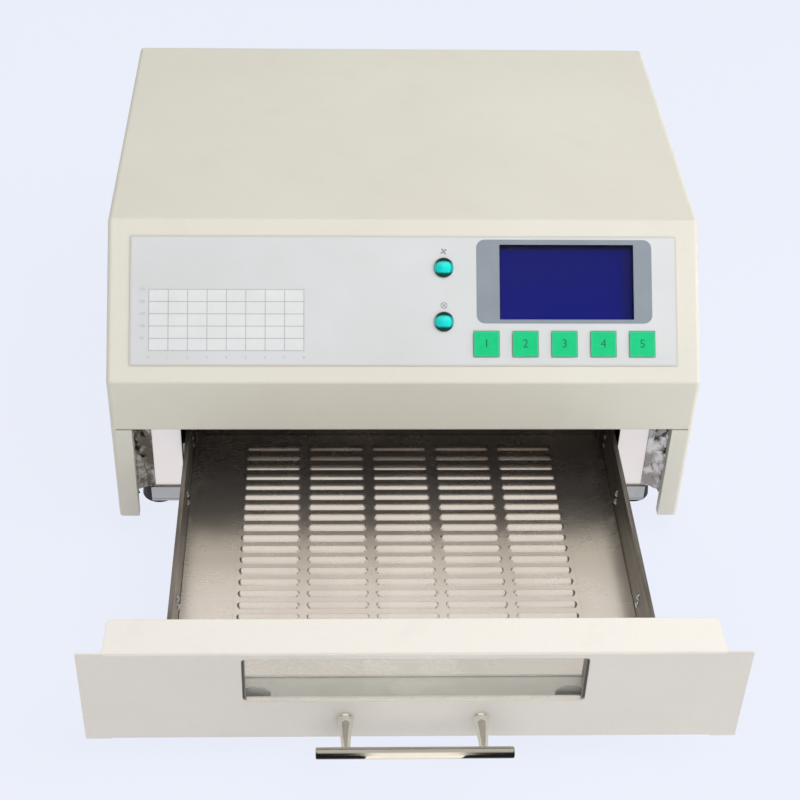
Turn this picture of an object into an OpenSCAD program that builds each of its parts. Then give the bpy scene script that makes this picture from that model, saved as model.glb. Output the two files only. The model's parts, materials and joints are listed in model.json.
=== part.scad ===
// Bench-top infrared reflow oven with a louvred drawer tray, quartz lamps and a sloping control panel.
// X runs across the front, Y to the back and Z up. The drawer stands drawn out at rest.

/* [Casing] */
// Width of the casing
body_w = 310; // [300:1:360]
// Depth of the casing from its front face to its back edge
body_d = 255; // [250:1:300]
// Height from the table to the top
body_h = 170; // [165:1:190]
// Thickness of the painted sheet
sheet_t = 1.2; // [0.8:0.1:1.6]
// Inside radius of the casing's folds
fold_in_r = 1.4; // [0.8:0.1:3]
// Height of the front opening above the base
opening_h = 62.3; // [61:0.1:66]
// Height of the upright front face above the opening
brow_h = 31.4; // [26:0.1:36]
// How far back the fold above the sloping panel lies
panel_head_y = 59.3; // [52:0.1:70]
// Width of the upright flange at each side of the opening
leg_w = 11; // [9:0.5:14]
// Depth of the small lips folded back along the opening
lip_d = 5; // [3:0.5:8]
// Height of the saw cut that frees each upright flange from the front face
relief_h = 0.8; // [0.5:0.1:1.5]
// Clearance between seated sheet pieces
fit = 0.3; // [0.2:0.05:0.4]

/* [Casing vents and screws] */
// Number of vent slots in each side
vent_n = 9; // [4:1:12]
// Distance between vent slots
vent_pitch = 8; // [6:0.5:10]
// Length of a vent slot
vent_l = 26; // [16:1:32]
// Width of a vent slot
vent_w = 3.2; // [2:0.2:4]
// Height of the vents' middle above the base
vent_z = 112; // [100:1:120]
// Radius of a casing screw's shank
screw_r = 1.9; // [1.5:0.1:2.2]
// Radius of a casing screw's head
screw_head_r = 3.5; // [3:0.1:4]
// Height of a casing screw's head
screw_head_h = 2; // [1.4:0.1:2.6]
// Length of a casing screw's shank
screw_l = 6; // [5:0.5:8]
// Clearance round a screw's shank in its hole
screw_gap = 0.15; // [0.1:0.05:0.3]

/* [Base and feet] */
// Thickness of the chassis sheet
base_t = 1.2; // [0.8:0.1:1.6]
// Height of the base's front flange
base_flange_h = 10; // [8:0.5:12]
// Distance of the base's front flange's ends from the casing's sides
base_flange_inset = 17; // [13:1:25]
// How far the base's front flange is set back from the front face
base_setback = 12.8; // [12.5:0.1:14]
// Depth of the notches at the base's front corners
base_notch = 13.5; // [10:0.5:16]
// Height of the base's side and rear flanges
base_side_h = 18; // [15:1:24]
// Height of a rubber foot
foot_h = 14; // [10:1:20]
// Radius of a foot at the table
foot_r = 10; // [8.5:0.5:11]
// Distance of the feet from the casing's sides
foot_inset = 19; // [17:1:27]
// Distance of the front feet from the front face
foot_front_y = 36; // [34:1:50]
// Distance of the rear feet from the casing's back edge
foot_back_y = 32; // [22:1:45]

/* [Oven cavity] */
// Gap between the tray and the mouth's sides, where the runners slide
mouth_gap = 4; // [4:0.1:6.5]
// Height of the mouth's sill above the base
sill_h = 15; // [13:0.5:17]
// Thickness of the cavity's liner
liner_t = 1; // [0.8:0.1:1.2]
// Height of the cavity's ceiling above the base
ceiling_h = 76.3; // [74.5:0.1:80]
// Distance of the painted front plate's ends from the casing's sides
baffle_inset = 9; // [7:1:13]
// Depth of the fold along the front plate's upper edge
baffle_fold = 13; // [10:0.5:16]
// Thickness of the insulation
insulation_t = 10; // [6:1:12]
// Gap between the drawer's back and the liner
back_gap = 4; // [2:0.5:6]

/* [Lamps] */
// Distance between lamps
lamp_pitch = 45; // [40:1:46]
// Distance of the first lamp behind the front face
lamp_y = 50; // [46:1:54]
// Radius of a quartz tube
lamp_r = 5; // [4:0.1:5.5]
// Wall of a quartz tube
lamp_wall = 1; // [0.8:0.1:1.4]
// Radius of a lamp's ceramic end
lamp_end_r = 6; // [5.8:0.1:7]
// Length of a lamp's ceramic end
lamp_end_l = 16; // [12:1:17]
// Radius of the reflector's troughs
trough_r = 12; // [10:0.5:13]
// Thickness of the reflector
reflector_t = 0.8; // [0.5:0.1:1]
// Radius of a temperature probe
probe_r = 1.5; // [1:0.1:2]

/* [Drawer] */
// Travel of the drawer
drawer_travel = 158; // [130:1:162]
// Height of the drawer's front plate
front_h = 57.8; // [54:0.1:59]
// Depth of the fold along the front plate's upper edge
front_fold = 21; // [18:0.5:23]
// Depth of the fold along the front plate's lower edge
front_hem = 10; // [6:0.5:11]
// How far the ends of the front plate's folds widen where they meet it
flare_w = 1; // [0.4:0.1:1.2]
// Length of that widening
flare_l = 5; // [3:0.5:8]
// Corner radius of the front plate's folds
fold_corner_r = 3; // [1:0.5:6]
// Gap between the ends of the folds and the casing's upright flanges
fold_gap = 1.2; // [1.2:0.1:2]
// Running clearance between the drawer and the casing
run = 0.5; // [0.4:0.05:0.8]
// Inside width of the tray
tray_w = 229; // [200:1:250]
// Inside length of the tray
tray_l = 180; // [160:1:182]
// Height of the tray's plate above the base
tray_z = 23; // [22:0.5:24]
// Height of the tray's walls above its plate
tray_wall_h = 25; // [24:0.5:28]
// Thickness of the tray's sheet
tray_t = 1; // [0.8:0.1:1.2]
// Width of the tray's hemmed rim beyond its wall
hem_w = 1.3; // [0.8:0.1:1.5]
// Height of the tray's hemmed rim
hem_h = 6; // [4:0.5:8]
// Width of the ledge that carries the louvred plate
ledge_w = 6; // [4:0.5:8]

/* [Louvres] */
// Number of louvre columns
louvre_cols = 5; // [3:1:5]
// Number of louvre rows
louvre_rows = 18; // [10:1:18]
// Distance between columns
louvre_pitch_x = 35; // [33:0.5:38]
// Distance between rows
louvre_pitch_y = 8.15; // [7.5:0.05:8.5]
// Length of a louvre
louvre_l = 31.5; // [24:0.5:32]
// Depth of a louvre from its lip to its root
louvre_w = 3.8; // [3:0.1:4.2]
// Height of a louvre's lip above the plate
louvre_h = 1.9; // [1.4:0.1:2.4]
// Thickness of a louvre's hood
louvre_t = 0.6; // [0.4:0.1:0.8]
// Distance of the first row's roots from the tray's back wall
louvre_back = 14.2; // [10:0.1:20]

/* [Runners] */
// Height of the fixed rails
rail_h = 14; // [12:0.5:15]
// Height of the rails' middle above the tray's plate
rail_z = 9; // [8.5:0.5:10]
// Thickness of the rails
rail_t = 1; // [0.8:0.1:1.2]

/* [Window] */
// Width of the window
window_w = 160; // [140:1:180]
// Height of the window
window_h = 29; // [24:0.5:30]
// Corner radius of the window
window_r = 2; // [1:0.5:4]
// Strip of painted sheet above the window
window_top = 3.3; // [3.3:0.1:6]
// How far the seal shows inside the window's edge
seal_show = 1.5; // [0.5:0.1:2.5]
// Thickness of the seal
seal_t = 1; // [0.6:0.1:1.5]
// Thickness of the window glass
glass_t = 3; // [2:0.5:4]
// How far the glass reaches past the window's edge
glass_lap = 5; // [3:0.5:6]

/* [Handle] */
// Distance between the handle's posts
handle_w = 64; // [48:1:76]
// Length of the handle's bar
bar_l = 92; // [86:1:120]
// Diameter of the handle's bar
bar_d = 5.5; // [5:0.5:8]
// Distance from the front plate to the middle of the bar
handle_reach = 21; // [18:0.5:30]
// Height of the handle above the base
handle_z = 18; // [12:0.5:20]
// Radius of a post at the front plate
post_r = 4.2; // [3.6:0.1:5]
// Radius of a post's stem at the bar
stem_r = 2.2; // [1.6:0.1:2.4]

/* [Control panel] */
// Distance of the printed overlay's ends from the casing's sides
overlay_inset = 12; // [9:0.5:12.5]
// Height of the printed overlay
overlay_h = 68.5; // [66:0.5:72]
// Thickness of the overlay
overlay_t = 0.5; // [0.3:0.1:0.8]
// Corner radius of the overlay
overlay_r = 1; // [0.5:0.5:6]
// Distance of the display's middle from the overlay's right end
display_inset = 58; // [56.5:0.5:60.5]
// Distance of the display's middle from the overlay's middle, up the slope
display_v = 10; // [9:0.5:11]
// Width of the display's window
display_w = 70.5; // [66:0.5:74]
// Height of the display's window
display_h = 39.6; // [36:0.2:41]
// How far the clear window reaches past the visible display
display_lap = 2; // [1:0.5:3]
// Distance of the indicators from the overlay's right end
indicator_inset = 122.5; // [119.5:0.5:125.5]
// Distance of the indicators' middle from the overlay's middle, up the slope
lamp_v = 3.2; // [1:0.2:5]
// Distance between the two indicators
lamp_gap = 28.5; // [24:0.5:32]
// Radius of an indicator's ring
ring_r = 5.2; // [5:0.1:6]
// Radius of an indicator's lens
lens_r = 4.2; // [3.6:0.1:4.4]
// Width of a square key
key_w = 13.4; // [12:0.2:15]
// Distance between keys
key_pitch = 20.4; // [19:0.1:21]
// Distance of the last key from the overlay's right end
key_inset = 18.8; // [16:0.1:20]
// Distance of the keys below the overlay's middle
key_v = 22.7; // [22.5:0.1:24]
// Thickness of a key
key_t = 0.6; // [0.5:0.1:1]
// Travel of a key
key_travel = 0.4; // [0.3:0.05:0.5]
// Radius of a key's stem
key_stem_r = 1.7; // [1.4:0.1:2]
// Depth of the circuit board behind the panel
board_depth = 14; // [13:0.5:16]
// Thickness of the circuit boards
board_t = 1.6; // [1.2:0.1:2]

/* [Rear panel] */
// How far the rear panel is set in from the casing's back edge
rear_inset = 1; // [0.5:0.1:2]
// Distance of the fan from the casing's middle
fan_x = -60; // [-70:1:-50]
// Height of the fan's axis above the base
fan_z = 66; // [62:1:90]
// Size of the square fan
fan_w = 80; // [76:1:84]
// Depth of the fan
fan_d = 25; // [22:0.5:30]
// Number of fan blades
blade_n = 7; // [5:1:9]
// Distance between the fan's screws
fan_screw_gap = 71.5; // [68:0.5:72]
// Distance of the mains inlet from the casing's middle
inlet_x = 110; // [100:1:115]
// Height of the mains inlet above the base
inlet_z = 32; // [30:1:40]
// Distance of the power switch from the casing's middle
switch_x = 62; // [56:1:66]
// Distance of the fuse holder from the casing's middle
fuse_x = 34; // [30:1:40]

/* [Hidden] */

// Each key and each lamp is a node of its own
key_n = 5;
lamp_n = 4;

$fn = 48;
eps = 0.02;
side = [-1, 1];

cream = "#e4dfd1";
cream_light = "#efe9df";
cream_white = "#f4eee8";
steel = "#b9b6b0";
dark_steel = "#6f6b66";

// Heights
base_top = foot_h + base_t;
brow_z = foot_h + opening_h;
panel_foot_z = brow_z + brow_h;
cover_foot_z = foot_h + fit;
sill_z = foot_h + sill_h;
ceiling_z = foot_h + ceiling_h;
plate_z = foot_h + tray_z;
wall_top_z = plate_z + tray_wall_h;

// Casing
fold_out_r = fold_in_r + sheet_t;
inner_x = body_w / 2 - sheet_t;
opening_x = body_w / 2 - leg_w;
inner_top_z = body_h - sheet_t;
rear_face_y = body_d - rear_inset;
rear_in_y = rear_face_y - sheet_t;
chassis_x = inner_x - fit;
foot_x = body_w / 2 - foot_inset;
base_flange_x = body_w / 2 - base_flange_inset;
base_bend_r = 0.8;
baffle_x = body_w / 2 - baffle_inset;

// The casing's side view, run on past the back and the foot, where it is cut off square
run_on = 20;
side_outline = [
  [body_d + run_on, -run_on], [body_d + run_on, body_h], [panel_head_y, body_h],
  [0, panel_foot_z], [0, -run_on]
];

// Screws and flanges at the casing's edges
flange_d = 14;
flange_screw_z = foot_h + base_side_h * 0.55;
cover_screw_ys = [foot_front_y + 24, body_d * 0.58, body_d - 34];
rear_flange_y = rear_in_y - flange_d / 2;
rear_flange_screw_zs = [foot_h + 45, body_h - 40];
rear_screw_xs = [45, chassis_x - 18.5];
vent_back = 40;

// Sloping panel
slope_l = norm([panel_head_y, body_h - panel_foot_z]);
slope_a = atan2(body_h - panel_foot_z, panel_head_y);

// Drawer, in its closed place
front_in_y = -fit;
front_out_y = front_in_y - sheet_t;
front_top_z = brow_z - run;
front_foot_z = front_top_z - front_h;
front_bend_r = 1;
fold_end_x = opening_x - fold_gap;
tray_y0 = front_in_y + front_fold;
tray_y1 = tray_y0 + tray_l;
tray_in_x = tray_w / 2;
tray_out_x = tray_in_x + tray_t;
tray_floor_z = plate_z - tray_t;
ledge_z = tray_floor_z - tray_t;
tray_play = 0.2;
tray_flange_w = 10;

// Front plate of the cavity
baffle_y = base_setback + base_t;
baffle_back_y = baffle_y + sheet_t;
baffle_top_z = front_top_z - sheet_t - 1.6 * run;
baffle_foot_z = foot_h + base_flange_h;

// Foil tape: each bend's offset across, and its share of the way back to the front plate,
// on which the tape's last strip lies
foil_t = 0.5;
foil_reach = 10.5;
foil_folds = [[2, 0.02], [-1.5, 0.2], [0.5, 0.42], [-3, 0.5], [-2.5, 0.72], [-6, 0.85], [-8, 0.99]];

// Liner
mouth_x = tray_out_x + mouth_gap;
liner_out_x = mouth_x + liner_t;
liner_back_y = tray_y1 + tray_t + back_gap;
liner_top_z = ceiling_z + liner_t;
front_lip_y = baffle_y + baffle_fold;
liner_foot_y = foot_front_y + 12;
liner_foot_w = 9;
air_hole_r = 2.5;
air_hole_pitch = [11, 10];
air_hole_drop = 8;

// Lamps
lamp_z = ceiling_z - fit - reflector_t - trough_r;
lamp_end_out = 6.8;
lamp_end_x = liner_out_x + lamp_end_out;
bracket_t = 1.2;
bracket_margin = 14;
bracket_h = 20;
insulation_gap = 0.8;
insulation_x = lamp_end_x + insulation_gap;
insulation_y0 = front_lip_y + 7;
probe_x = 50;
probe_y = lamp_y + lamp_pitch * 1.5;
probe_tip_z = wall_top_z + 4;

// Runners
rail_web_x = mouth_x - fit;
rail_z1 = plate_z + rail_z - rail_h / 2;
rail_z2 = rail_z1 + rail_h;
runner_x = rail_web_x - rail_t - fit;
runner_gap = 0.3;
rail_lip_gap = 0.6;
rail_seat = [10, 3];
rail_seat_inset = 12;
rail_y0 = baffle_back_y + 1;
rail_y1 = liner_back_y - liner_t - 1;
runner_y0 = tray_y0 - 12;
rivet_r = 1.2;
rivet_ys = [tray_y0 + 40, tray_y1 - 63, tray_y1 - 16];
rivet_zs = [plate_z + rail_z - 2.8, plate_z + rail_z + 2.8];

// Window
window_z1 = front_top_z - window_top;
window_z0 = window_z1 - window_h;
glass_z1 = front_top_z - sheet_t - front_bend_r - 0.2;
glass_z0 = window_z0 - glass_lap;
glass_w = window_w + 2 * glass_lap;
seal_y = front_in_y;
glass_y = seal_y + seal_t;
clip_x = window_w / 2 - 6;
clip_r = 7;
clip_t = 0.8;

// Handle
bar_y = front_out_y - handle_reach;
post_z = foot_h + handle_z;

// Control panel, measured up the slope from the overlay's middle
overlay_s = slope_l / 2;
overlay_w = body_w - 2 * overlay_inset;
display_x = overlay_w / 2 - display_inset;
lamp_x = overlay_w / 2 - indicator_inset;
key_x = overlay_w / 2 - key_inset - (key_n - 1) * key_pitch;
key_rest_gap = key_travel + fit;
key_hole_gap = 0.25;
stem_gap = 0.5;
switch_h = 3.5;
lcd_frame_w = display_w + 8;
lcd_frame_h = display_h + 11;
lcd_frame_t = 6;
lcd_pcb_w = lcd_frame_w + 14;
lcd_pcb_h = lcd_frame_h + 3;
lcd_v = display_v + 0.5;
board_x1 = overlay_w / 2 - 2;
board_x0 = board_x1 - 153.5;
board_v0 = -31;
board_v1 = 29;
pillar_r = 3;
pillar_inset = 5;

// Rear panel
fan_bore_r = fan_w / 2 - 2;
fan_y = rear_in_y - fan_d;
fan_axis_z = foot_h + fan_z;
guard_wire_r = 1.1;
guard_eye_t = 1.8;
guard_eye_r = 4.5;
guard_rings = 4;
inlet_axis_z = foot_h + inlet_z;
cutout_gap = 0.3;
inlet_plate = [50, 24, 2.5];
inlet_body = [27.6, 19.6, 22];
inlet_socket = [24, 16.4, 16];
inlet_screw_x = 20;
switch_plate = [15, 21, 2];
switch_box = [13, 19.2, 18];
switch_well = [10.8, 18.2, 6];
rocker_w = 10.2;
rocker_half = 8;
rocker_tilt = 12;
rocker_pivot = 0.6;
rocker_pin_r = 1.2;
fuse_r = 5.9;
fuse_collar_r = 7.5;
fuse_cap_h = 8;
rear_vent_n = 8;
rear_vent_pitch = 6;
rear_vent = [44, 2.6];
rear_vent_x = 92;
rear_vent_z = body_h - 45;
power_board_y = rear_in_y - 10;
power_board_w = 88;
power_board_h = 78;
power_board_x0 = inner_x - power_board_w - 9.8;
power_board_z0 = inner_top_z - power_board_h - 12.8;
capacitor = [5, 14];
capacitor_z = power_board_z0 + 68;
transformer_core = [34, 16, 28];
transformer_coil = [22, 28, 18];
transformer_x0 = power_board_x0 + 61;
transformer_z0 = power_board_z0 + 46;

// The origin lies under the middle of the whole part, with the drawer drawn out
part_y0 = bar_y - bar_d / 2 - drawer_travel;
part_y1 = rear_face_y + fuse_cap_h;
mid_y = (part_y0 + part_y1) / 2;

// Helpers

module at_origin() {
  translate([0, -mid_y, 0]) children();
}

module in_drawer() {
  at_origin() translate([0, -drawer_travel, 0]) children();
}

// A box given by its lowest and highest corner
module block(low, high) {
  translate(low) cube(high - low);
}

module both_sides() {
  for (s = side) scale_side(s) children();
}

module scale_side(s) {
  if (s < 0) mirror([1, 0, 0]) children();
  else children();
}

module rounded_rect(w, h, r) {
  square([w - 2 * r, h], center = true);
  square([w, h - 2 * r], center = true);
  for (sx = side, sy = side) translate([sx * (w / 2 - r), sy * (h / 2 - r)]) circle(r);
}

module slot(l, w) {
  square([l - w, w], center = true);
  for (s = side) translate([s * (l - w) / 2, 0]) circle(w / 2);
}

// An angle section: its outer corner lies at the origin, one leg along +X and one along +Y
module angle_section(leg_x, leg_y, t, r) {
  translate([r + t, 0]) square([leg_x - r - t, t]);
  translate([0, r + t]) square([t, leg_y - r - t]);
  intersection() {
    translate([r + t, r + t]) difference() {
      circle(r + t);
      circle(r);
    }
    square(r + t);
  }
}

// Turns a section drawn in Y and Z into a bar that runs along X
module along_x(half_l) {
  translate([-half_l, 0, 0]) rotate([90, 0, 90]) linear_extrude(2 * half_l) children();
}

// Places a child on the sloping panel: z points out of it, y up the slope
module on_panel(x, v, depth = 0) {
  translate([x, panel_head_y, body_h]) rotate([slope_a, 0, 0])
    translate([0, v - overlay_s, -depth]) children();
}

// Places a child on the rear face: its z points to the back
module on_rear(x, z, y = rear_face_y) {
  translate([x, y, z]) rotate([-90, 0, 0]) children();
}

module screw(l = screw_l) {
  cylinder(r = screw_head_r, h = screw_head_h * 0.6);
  translate([0, 0, screw_head_h * 0.6])
    cylinder(r1 = screw_head_r, r2 = screw_head_r * 0.6, h = screw_head_h * 0.4);
  translate([0, 0, -l]) cylinder(r = screw_r, h = l);
}

module screw_hole(l = 3 * screw_l) {
  translate([0, 0, -l / 2]) cylinder(r = screw_r + screw_gap, h = l);
}

// Casing

// The inward normal of the edge from a to b, when the outline runs counter-clockwise
function inward(a, b) = let (d = (b - a) / norm(b - a)) [-d[1], d[0]];

function inset(points, distance) = [
  for (i = [0 : len(points) - 1])
    let (
      before = points[(i + len(points) - 1) % len(points)],
      here = points[i],
      after = points[(i + 1) % len(points)],
      n1 = inward(before, here),
      n2 = inward(here, after)
    )
    here + (n1 + n2) * distance / (1 + n1 * n2)
];

module casing_block(depth, r) {
  hull() for (p = inset(side_outline, depth + r), s = side)
    translate([s * (body_w / 2 - depth - r), p[0], p[1]]) sphere(r, $fn = 24);
}

module cover_screw_places() {
  both_sides() {
    for (y = cover_screw_ys) translate([body_w / 2, y, flange_screw_z]) rotate([0, 90, 0]) children();
    for (z = rear_flange_screw_zs) translate([body_w / 2, rear_flange_y, z]) rotate([0, 90, 0]) children();
  }
}

module rear_screw_places() {
  both_sides() for (x = rear_screw_xs) on_rear(x, flange_screw_z) children();
}

module fan_screw_places() {
  for (sx = side, sz = side)
    on_rear(fan_x + sx * fan_screw_gap / 2, fan_axis_z + sz * fan_screw_gap / 2) children();
}

module panel_cuts(display_margin, lamp_hole_r) {
  linear_extrude(4 * sheet_t, center = true) {
    translate([display_x, display_v])
      square([display_w + 2 * display_margin, display_h + 2 * display_margin], center = true);
    for (s = side) translate([lamp_x, lamp_v + s * lamp_gap / 2]) circle(lamp_hole_r);
  }
}

module each_key() {
  for (i = [0 : key_n - 1]) translate([key_x + i * key_pitch, -key_v, 0]) children();
}

module outer_cover() {
  at_origin() color(cream) {
    difference() {
      intersection() {
        casing_block(0, fold_out_r);
        block([-body_w, -body_d, cover_foot_z], [body_w, body_d, body_h]);
      }
      casing_block(sheet_t, fold_in_r);
      block([-opening_x, -eps, 0], [opening_x, fold_out_r, brow_z]);
      both_sides() block(
        [opening_x - eps, -eps, brow_z - relief_h], [body_w / 2 - fold_out_r, fold_out_r, brow_z]);
      on_panel(0, 0) {
        panel_cuts(display_lap + fit, lens_r - 0.2);
        each_key() cylinder(r = key_stem_r + key_hole_gap, h = 4 * sheet_t, center = true);
      }
      both_sides() for (i = [0 : vent_n - 1])
        translate([inner_x - sheet_t, body_d - vent_back - i * vent_pitch, foot_h + vent_z])
          rotate([0, 90, 0]) linear_extrude(3 * sheet_t) slot(vent_l, vent_w);
      cover_screw_places() screw_hole();
    }
    block([-opening_x, 0, brow_z], [opening_x, 2 * lip_d, brow_z + sheet_t]);
    both_sides() block(
      [opening_x, 0, cover_foot_z], [opening_x + sheet_t, lip_d, brow_z - relief_h]);
  }
}

module casing_screws() {
  at_origin() color(steel) {
    cover_screw_places() screw();
    rear_screw_places() screw();
    fan_screw_places() translate([0, 0, guard_eye_t]) screw();
  }
}

// Base, rear panel and feet

module foot_places() {
  both_sides() for (y = [foot_front_y, body_d - foot_back_y]) translate([foot_x, y, 0]) children();
}

module base_plate() {
  at_origin() color(dark_steel) difference() {
    union() {
      block([-base_flange_x, base_setback, foot_h],
            [base_flange_x, base_setback + base_notch, base_top]);
      block([-chassis_x, base_setback + base_notch, foot_h], [chassis_x, rear_face_y, base_top]);
      along_x(base_flange_x) translate([base_setback, foot_h])
        angle_section(6, base_flange_h, base_t, base_bend_r);
      both_sides() block([chassis_x - base_t, base_setback + base_notch, foot_h],
                         [chassis_x, rear_in_y - base_t, foot_h + base_side_h]);
      block([-chassis_x + flange_d, rear_in_y - base_t, foot_h],
            [chassis_x - flange_d, rear_in_y, foot_h + base_side_h]);
    }
    foot_places() cylinder(r = screw_r + screw_gap, h = 2 * base_top);
    cover_screw_places() screw_hole();
    rear_screw_places() screw_hole();
  }
}

module cutout(size) {
  linear_extrude(6 * sheet_t, center = true)
    square([size[0] + 2 * cutout_gap, size[1] + 2 * cutout_gap], center = true);
}

module rear_panel() {
  panel_h = inner_top_z - fit - base_top;
  at_origin() color(cream) difference() {
    union() {
      on_rear(0, base_top + panel_h / 2, rear_in_y) linear_extrude(sheet_t)
        rounded_rect(2 * chassis_x, panel_h, fold_in_r + fit);
      both_sides() block([chassis_x - sheet_t, rear_in_y - flange_d, foot_h + base_side_h + 2],
                         [chassis_x, rear_in_y + eps, inner_top_z - 8]);
    }
    on_rear(fan_x, fan_axis_z) cylinder(r = fan_bore_r - 0.5, h = 6 * sheet_t, center = true, $fn = 96);
    on_rear(inlet_x, inlet_axis_z) cutout(inlet_body);
    on_rear(switch_x, inlet_axis_z) cutout(switch_box);
    on_rear(fuse_x, inlet_axis_z) cylinder(r = fuse_r + cutout_gap, h = 6 * sheet_t, center = true);
    cover_screw_places() screw_hole();
    rear_screw_places() screw_hole();
    fan_screw_places() screw_hole();
    for (i = [0 : rear_vent_n - 1])
      on_rear(rear_vent_x, rear_vent_z + (i - (rear_vent_n - 1) / 2) * rear_vent_pitch)
        linear_extrude(6 * sheet_t, center = true) slot(rear_vent[0], rear_vent[1]);
  }
}

module foot(x, y) {
  recess_r = screw_head_r + 1;
  recess_h = foot_h * 0.55;
  at_origin() translate([x, y, 0]) color("#1c1c1d") rotate_extrude() difference() {
    polygon([[0, 0], [foot_r - 0.8, 0], [foot_r, 0.8], [foot_r - 1.2, foot_h], [0, foot_h]]);
    square([recess_r, recess_h]);
    square([screw_r + screw_gap, foot_h]);
  }
}

module foot_front_left() { foot(-foot_x, foot_front_y); }
module foot_front_right() { foot(foot_x, foot_front_y); }
module foot_rear_left() { foot(-foot_x, body_d - foot_back_y); }
module foot_rear_right() { foot(foot_x, body_d - foot_back_y); }

module foot_screws() {
  shank_l = foot_h * 0.45 + base_t + 4;
  at_origin() color(steel) foot_places() {
    translate([0, 0, foot_h * 0.55]) mirror([0, 0, 1]) screw(shank_l);
    translate([0, 0, base_top]) difference() {
      cylinder(r = screw_head_r + 0.4, h = 3, $fn = 6);
      cylinder(r = screw_r + 0.02, h = 9, center = true);
    }
  }
}

// Front plate, liner and insulation

module front_baffle() {
  mouth_top_z = baffle_top_z - sheet_t;
  at_origin() color(cream_white) {
    difference() {
      union() {
        block([-base_flange_x + 1, baffle_y, base_top + base_bend_r + 0.1],
              [base_flange_x - 1, baffle_back_y, baffle_foot_z]);
        block([-baffle_x, baffle_y, baffle_foot_z],
              [baffle_x, baffle_back_y, baffle_top_z - sheet_t - front_bend_r]);
      }
      block([-mouth_x, 0, sill_z], [mouth_x, baffle_back_y + 1, mouth_top_z]);
    }
    // The fold over the mouth is carried by the plate's two cheeks
    along_x(baffle_x) translate([baffle_y, baffle_top_z]) mirror([0, 1])
      angle_section(baffle_fold, sheet_t + front_bend_r + eps, sheet_t, front_bend_r);
  }
}

// A strip of tape folded to and fro between the upright flange and the front plate
module foil_tape() {
  foil_y0 = sheet_t;
  foil_y1 = baffle_y - foil_t;
  line = [for (f = foil_folds) [opening_x + 3 + f[0], foil_y0 + f[1] * (foil_y1 - foil_y0)]];
  end = [baffle_x - foil_reach, foil_y1];
  at_origin() color("#cfcdc8") both_sides()
    translate([0, 0, baffle_foot_z + 1]) linear_extrude(baffle_top_z - baffle_foot_z - 5)
      polygon(concat(
        [[opening_x + leg_w - 4, foil_y0]], line, [end],
        [end + [0, foil_t]],
        [for (i = [len(line) - 1 : -1 : 0]) line[i] + [foil_t, foil_t]],
        [[opening_x + leg_w - 4, foil_y0 + foil_t]]
      ));
}

module lamp_axes() {
  for (i = [0 : lamp_n - 1]) translate([0, lamp_y + i * lamp_pitch, lamp_z]) rotate([0, 90, 0]) children();
}

module probe_places() {
  both_sides() translate([probe_x, probe_y, 0]) children();
}

module air_holes(l) {
  for (i = [-2 : 2], j = [0, 1])
    translate([fan_x + i * air_hole_pitch[0], 0, ceiling_z - air_hole_drop - j * air_hole_pitch[1]])
      rotate([-90, 0, 0]) cylinder(r = air_hole_r, h = l);
}

module oven_liner() {
  at_origin() color("#8d8984") difference() {
    union() {
      both_sides() {
        block([mouth_x, baffle_back_y, sill_z - liner_t], [liner_out_x, liner_back_y, liner_top_z]);
        // Behind the front feet each wall reaches down to the base and turns in under the floor
        block([mouth_x, liner_foot_y, base_top], [liner_out_x, liner_back_y, sill_z]);
        block([mouth_x - liner_foot_w, liner_foot_y, base_top],
              [liner_out_x, liner_back_y, base_top + liner_t]);
      }
      block([-mouth_x - eps, baffle_back_y, sill_z - liner_t], [mouth_x + eps, liner_back_y, sill_z]);
      block([-mouth_x - eps, liner_back_y - liner_t, sill_z - liner_t],
            [mouth_x + eps, liner_back_y, liner_top_z]);
      block([-mouth_x - eps, front_lip_y, ceiling_z], [mouth_x + eps, liner_back_y, liner_top_z]);
      block([-mouth_x - eps, front_lip_y, baffle_top_z], [mouth_x + eps, front_lip_y + liner_t, liner_top_z]);
    }
    block([-body_w, 0, baffle_top_z - sheet_t - fit],
          [body_w, front_lip_y + fit, baffle_top_z]);
    block([-body_w, 0, baffle_top_z - eps], [body_w, front_lip_y, body_h]);
    lamp_axes() cylinder(r = lamp_end_r + 0.2, h = 2 * body_w, center = true);
    probe_places() cylinder(r = probe_r + 0.3, h = body_h);
    translate([0, liner_back_y - 2 * liner_t, 0]) air_holes(3 * liner_t);
  }
}

module insulation_blanket() {
  at_origin() color("#f1efe8") difference() {
    block([-insulation_x - insulation_t, insulation_y0, sill_z],
          [insulation_x + insulation_t, liner_back_y + insulation_t, liner_top_z + insulation_t]);
    block([-insulation_x, 0, 0], [insulation_x, liner_back_y, liner_top_z]);
    probe_places() cylinder(r = probe_r + 0.3, h = body_h);
    block([fan_x - 2.5 * air_hole_pitch[0], liner_back_y - 1, ceiling_z - 2.4 * air_hole_pitch[1]],
          [fan_x + 2.5 * air_hole_pitch[0], liner_back_y + 2 * insulation_t, ceiling_z - liner_t]);
  }
}

// Lamps and reflector

module lamp_reflector() {
  half_w = mouth_x - 4;
  y0 = lamp_y - trough_r - 6;
  y1 = lamp_y + (lamp_n - 1) * lamp_pitch + trough_r + 6;
  at_origin() color("#d9d9d6") difference() {
    union() {
      block([-half_w, y0, lamp_z], [half_w, y1, lamp_z + reflector_t]);
      intersection() {
        lamp_axes() cylinder(r = trough_r + reflector_t, h = 2 * half_w, center = true);
        block([-half_w, 0, lamp_z], [half_w, body_d, body_h]);
      }
      // Hangers that hold the reflector under the ceiling
      for (y = [y0, y1 - reflector_t], s = side)
        block([s * half_w * 0.7 - 8, y, lamp_z], [s * half_w * 0.7 + 8, y + reflector_t, ceiling_z]);
    }
    lamp_axes() cylinder(r = trough_r, h = body_w, center = true);
    probe_places() cylinder(r = probe_r + 0.3, h = body_h);
  }
}

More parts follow.
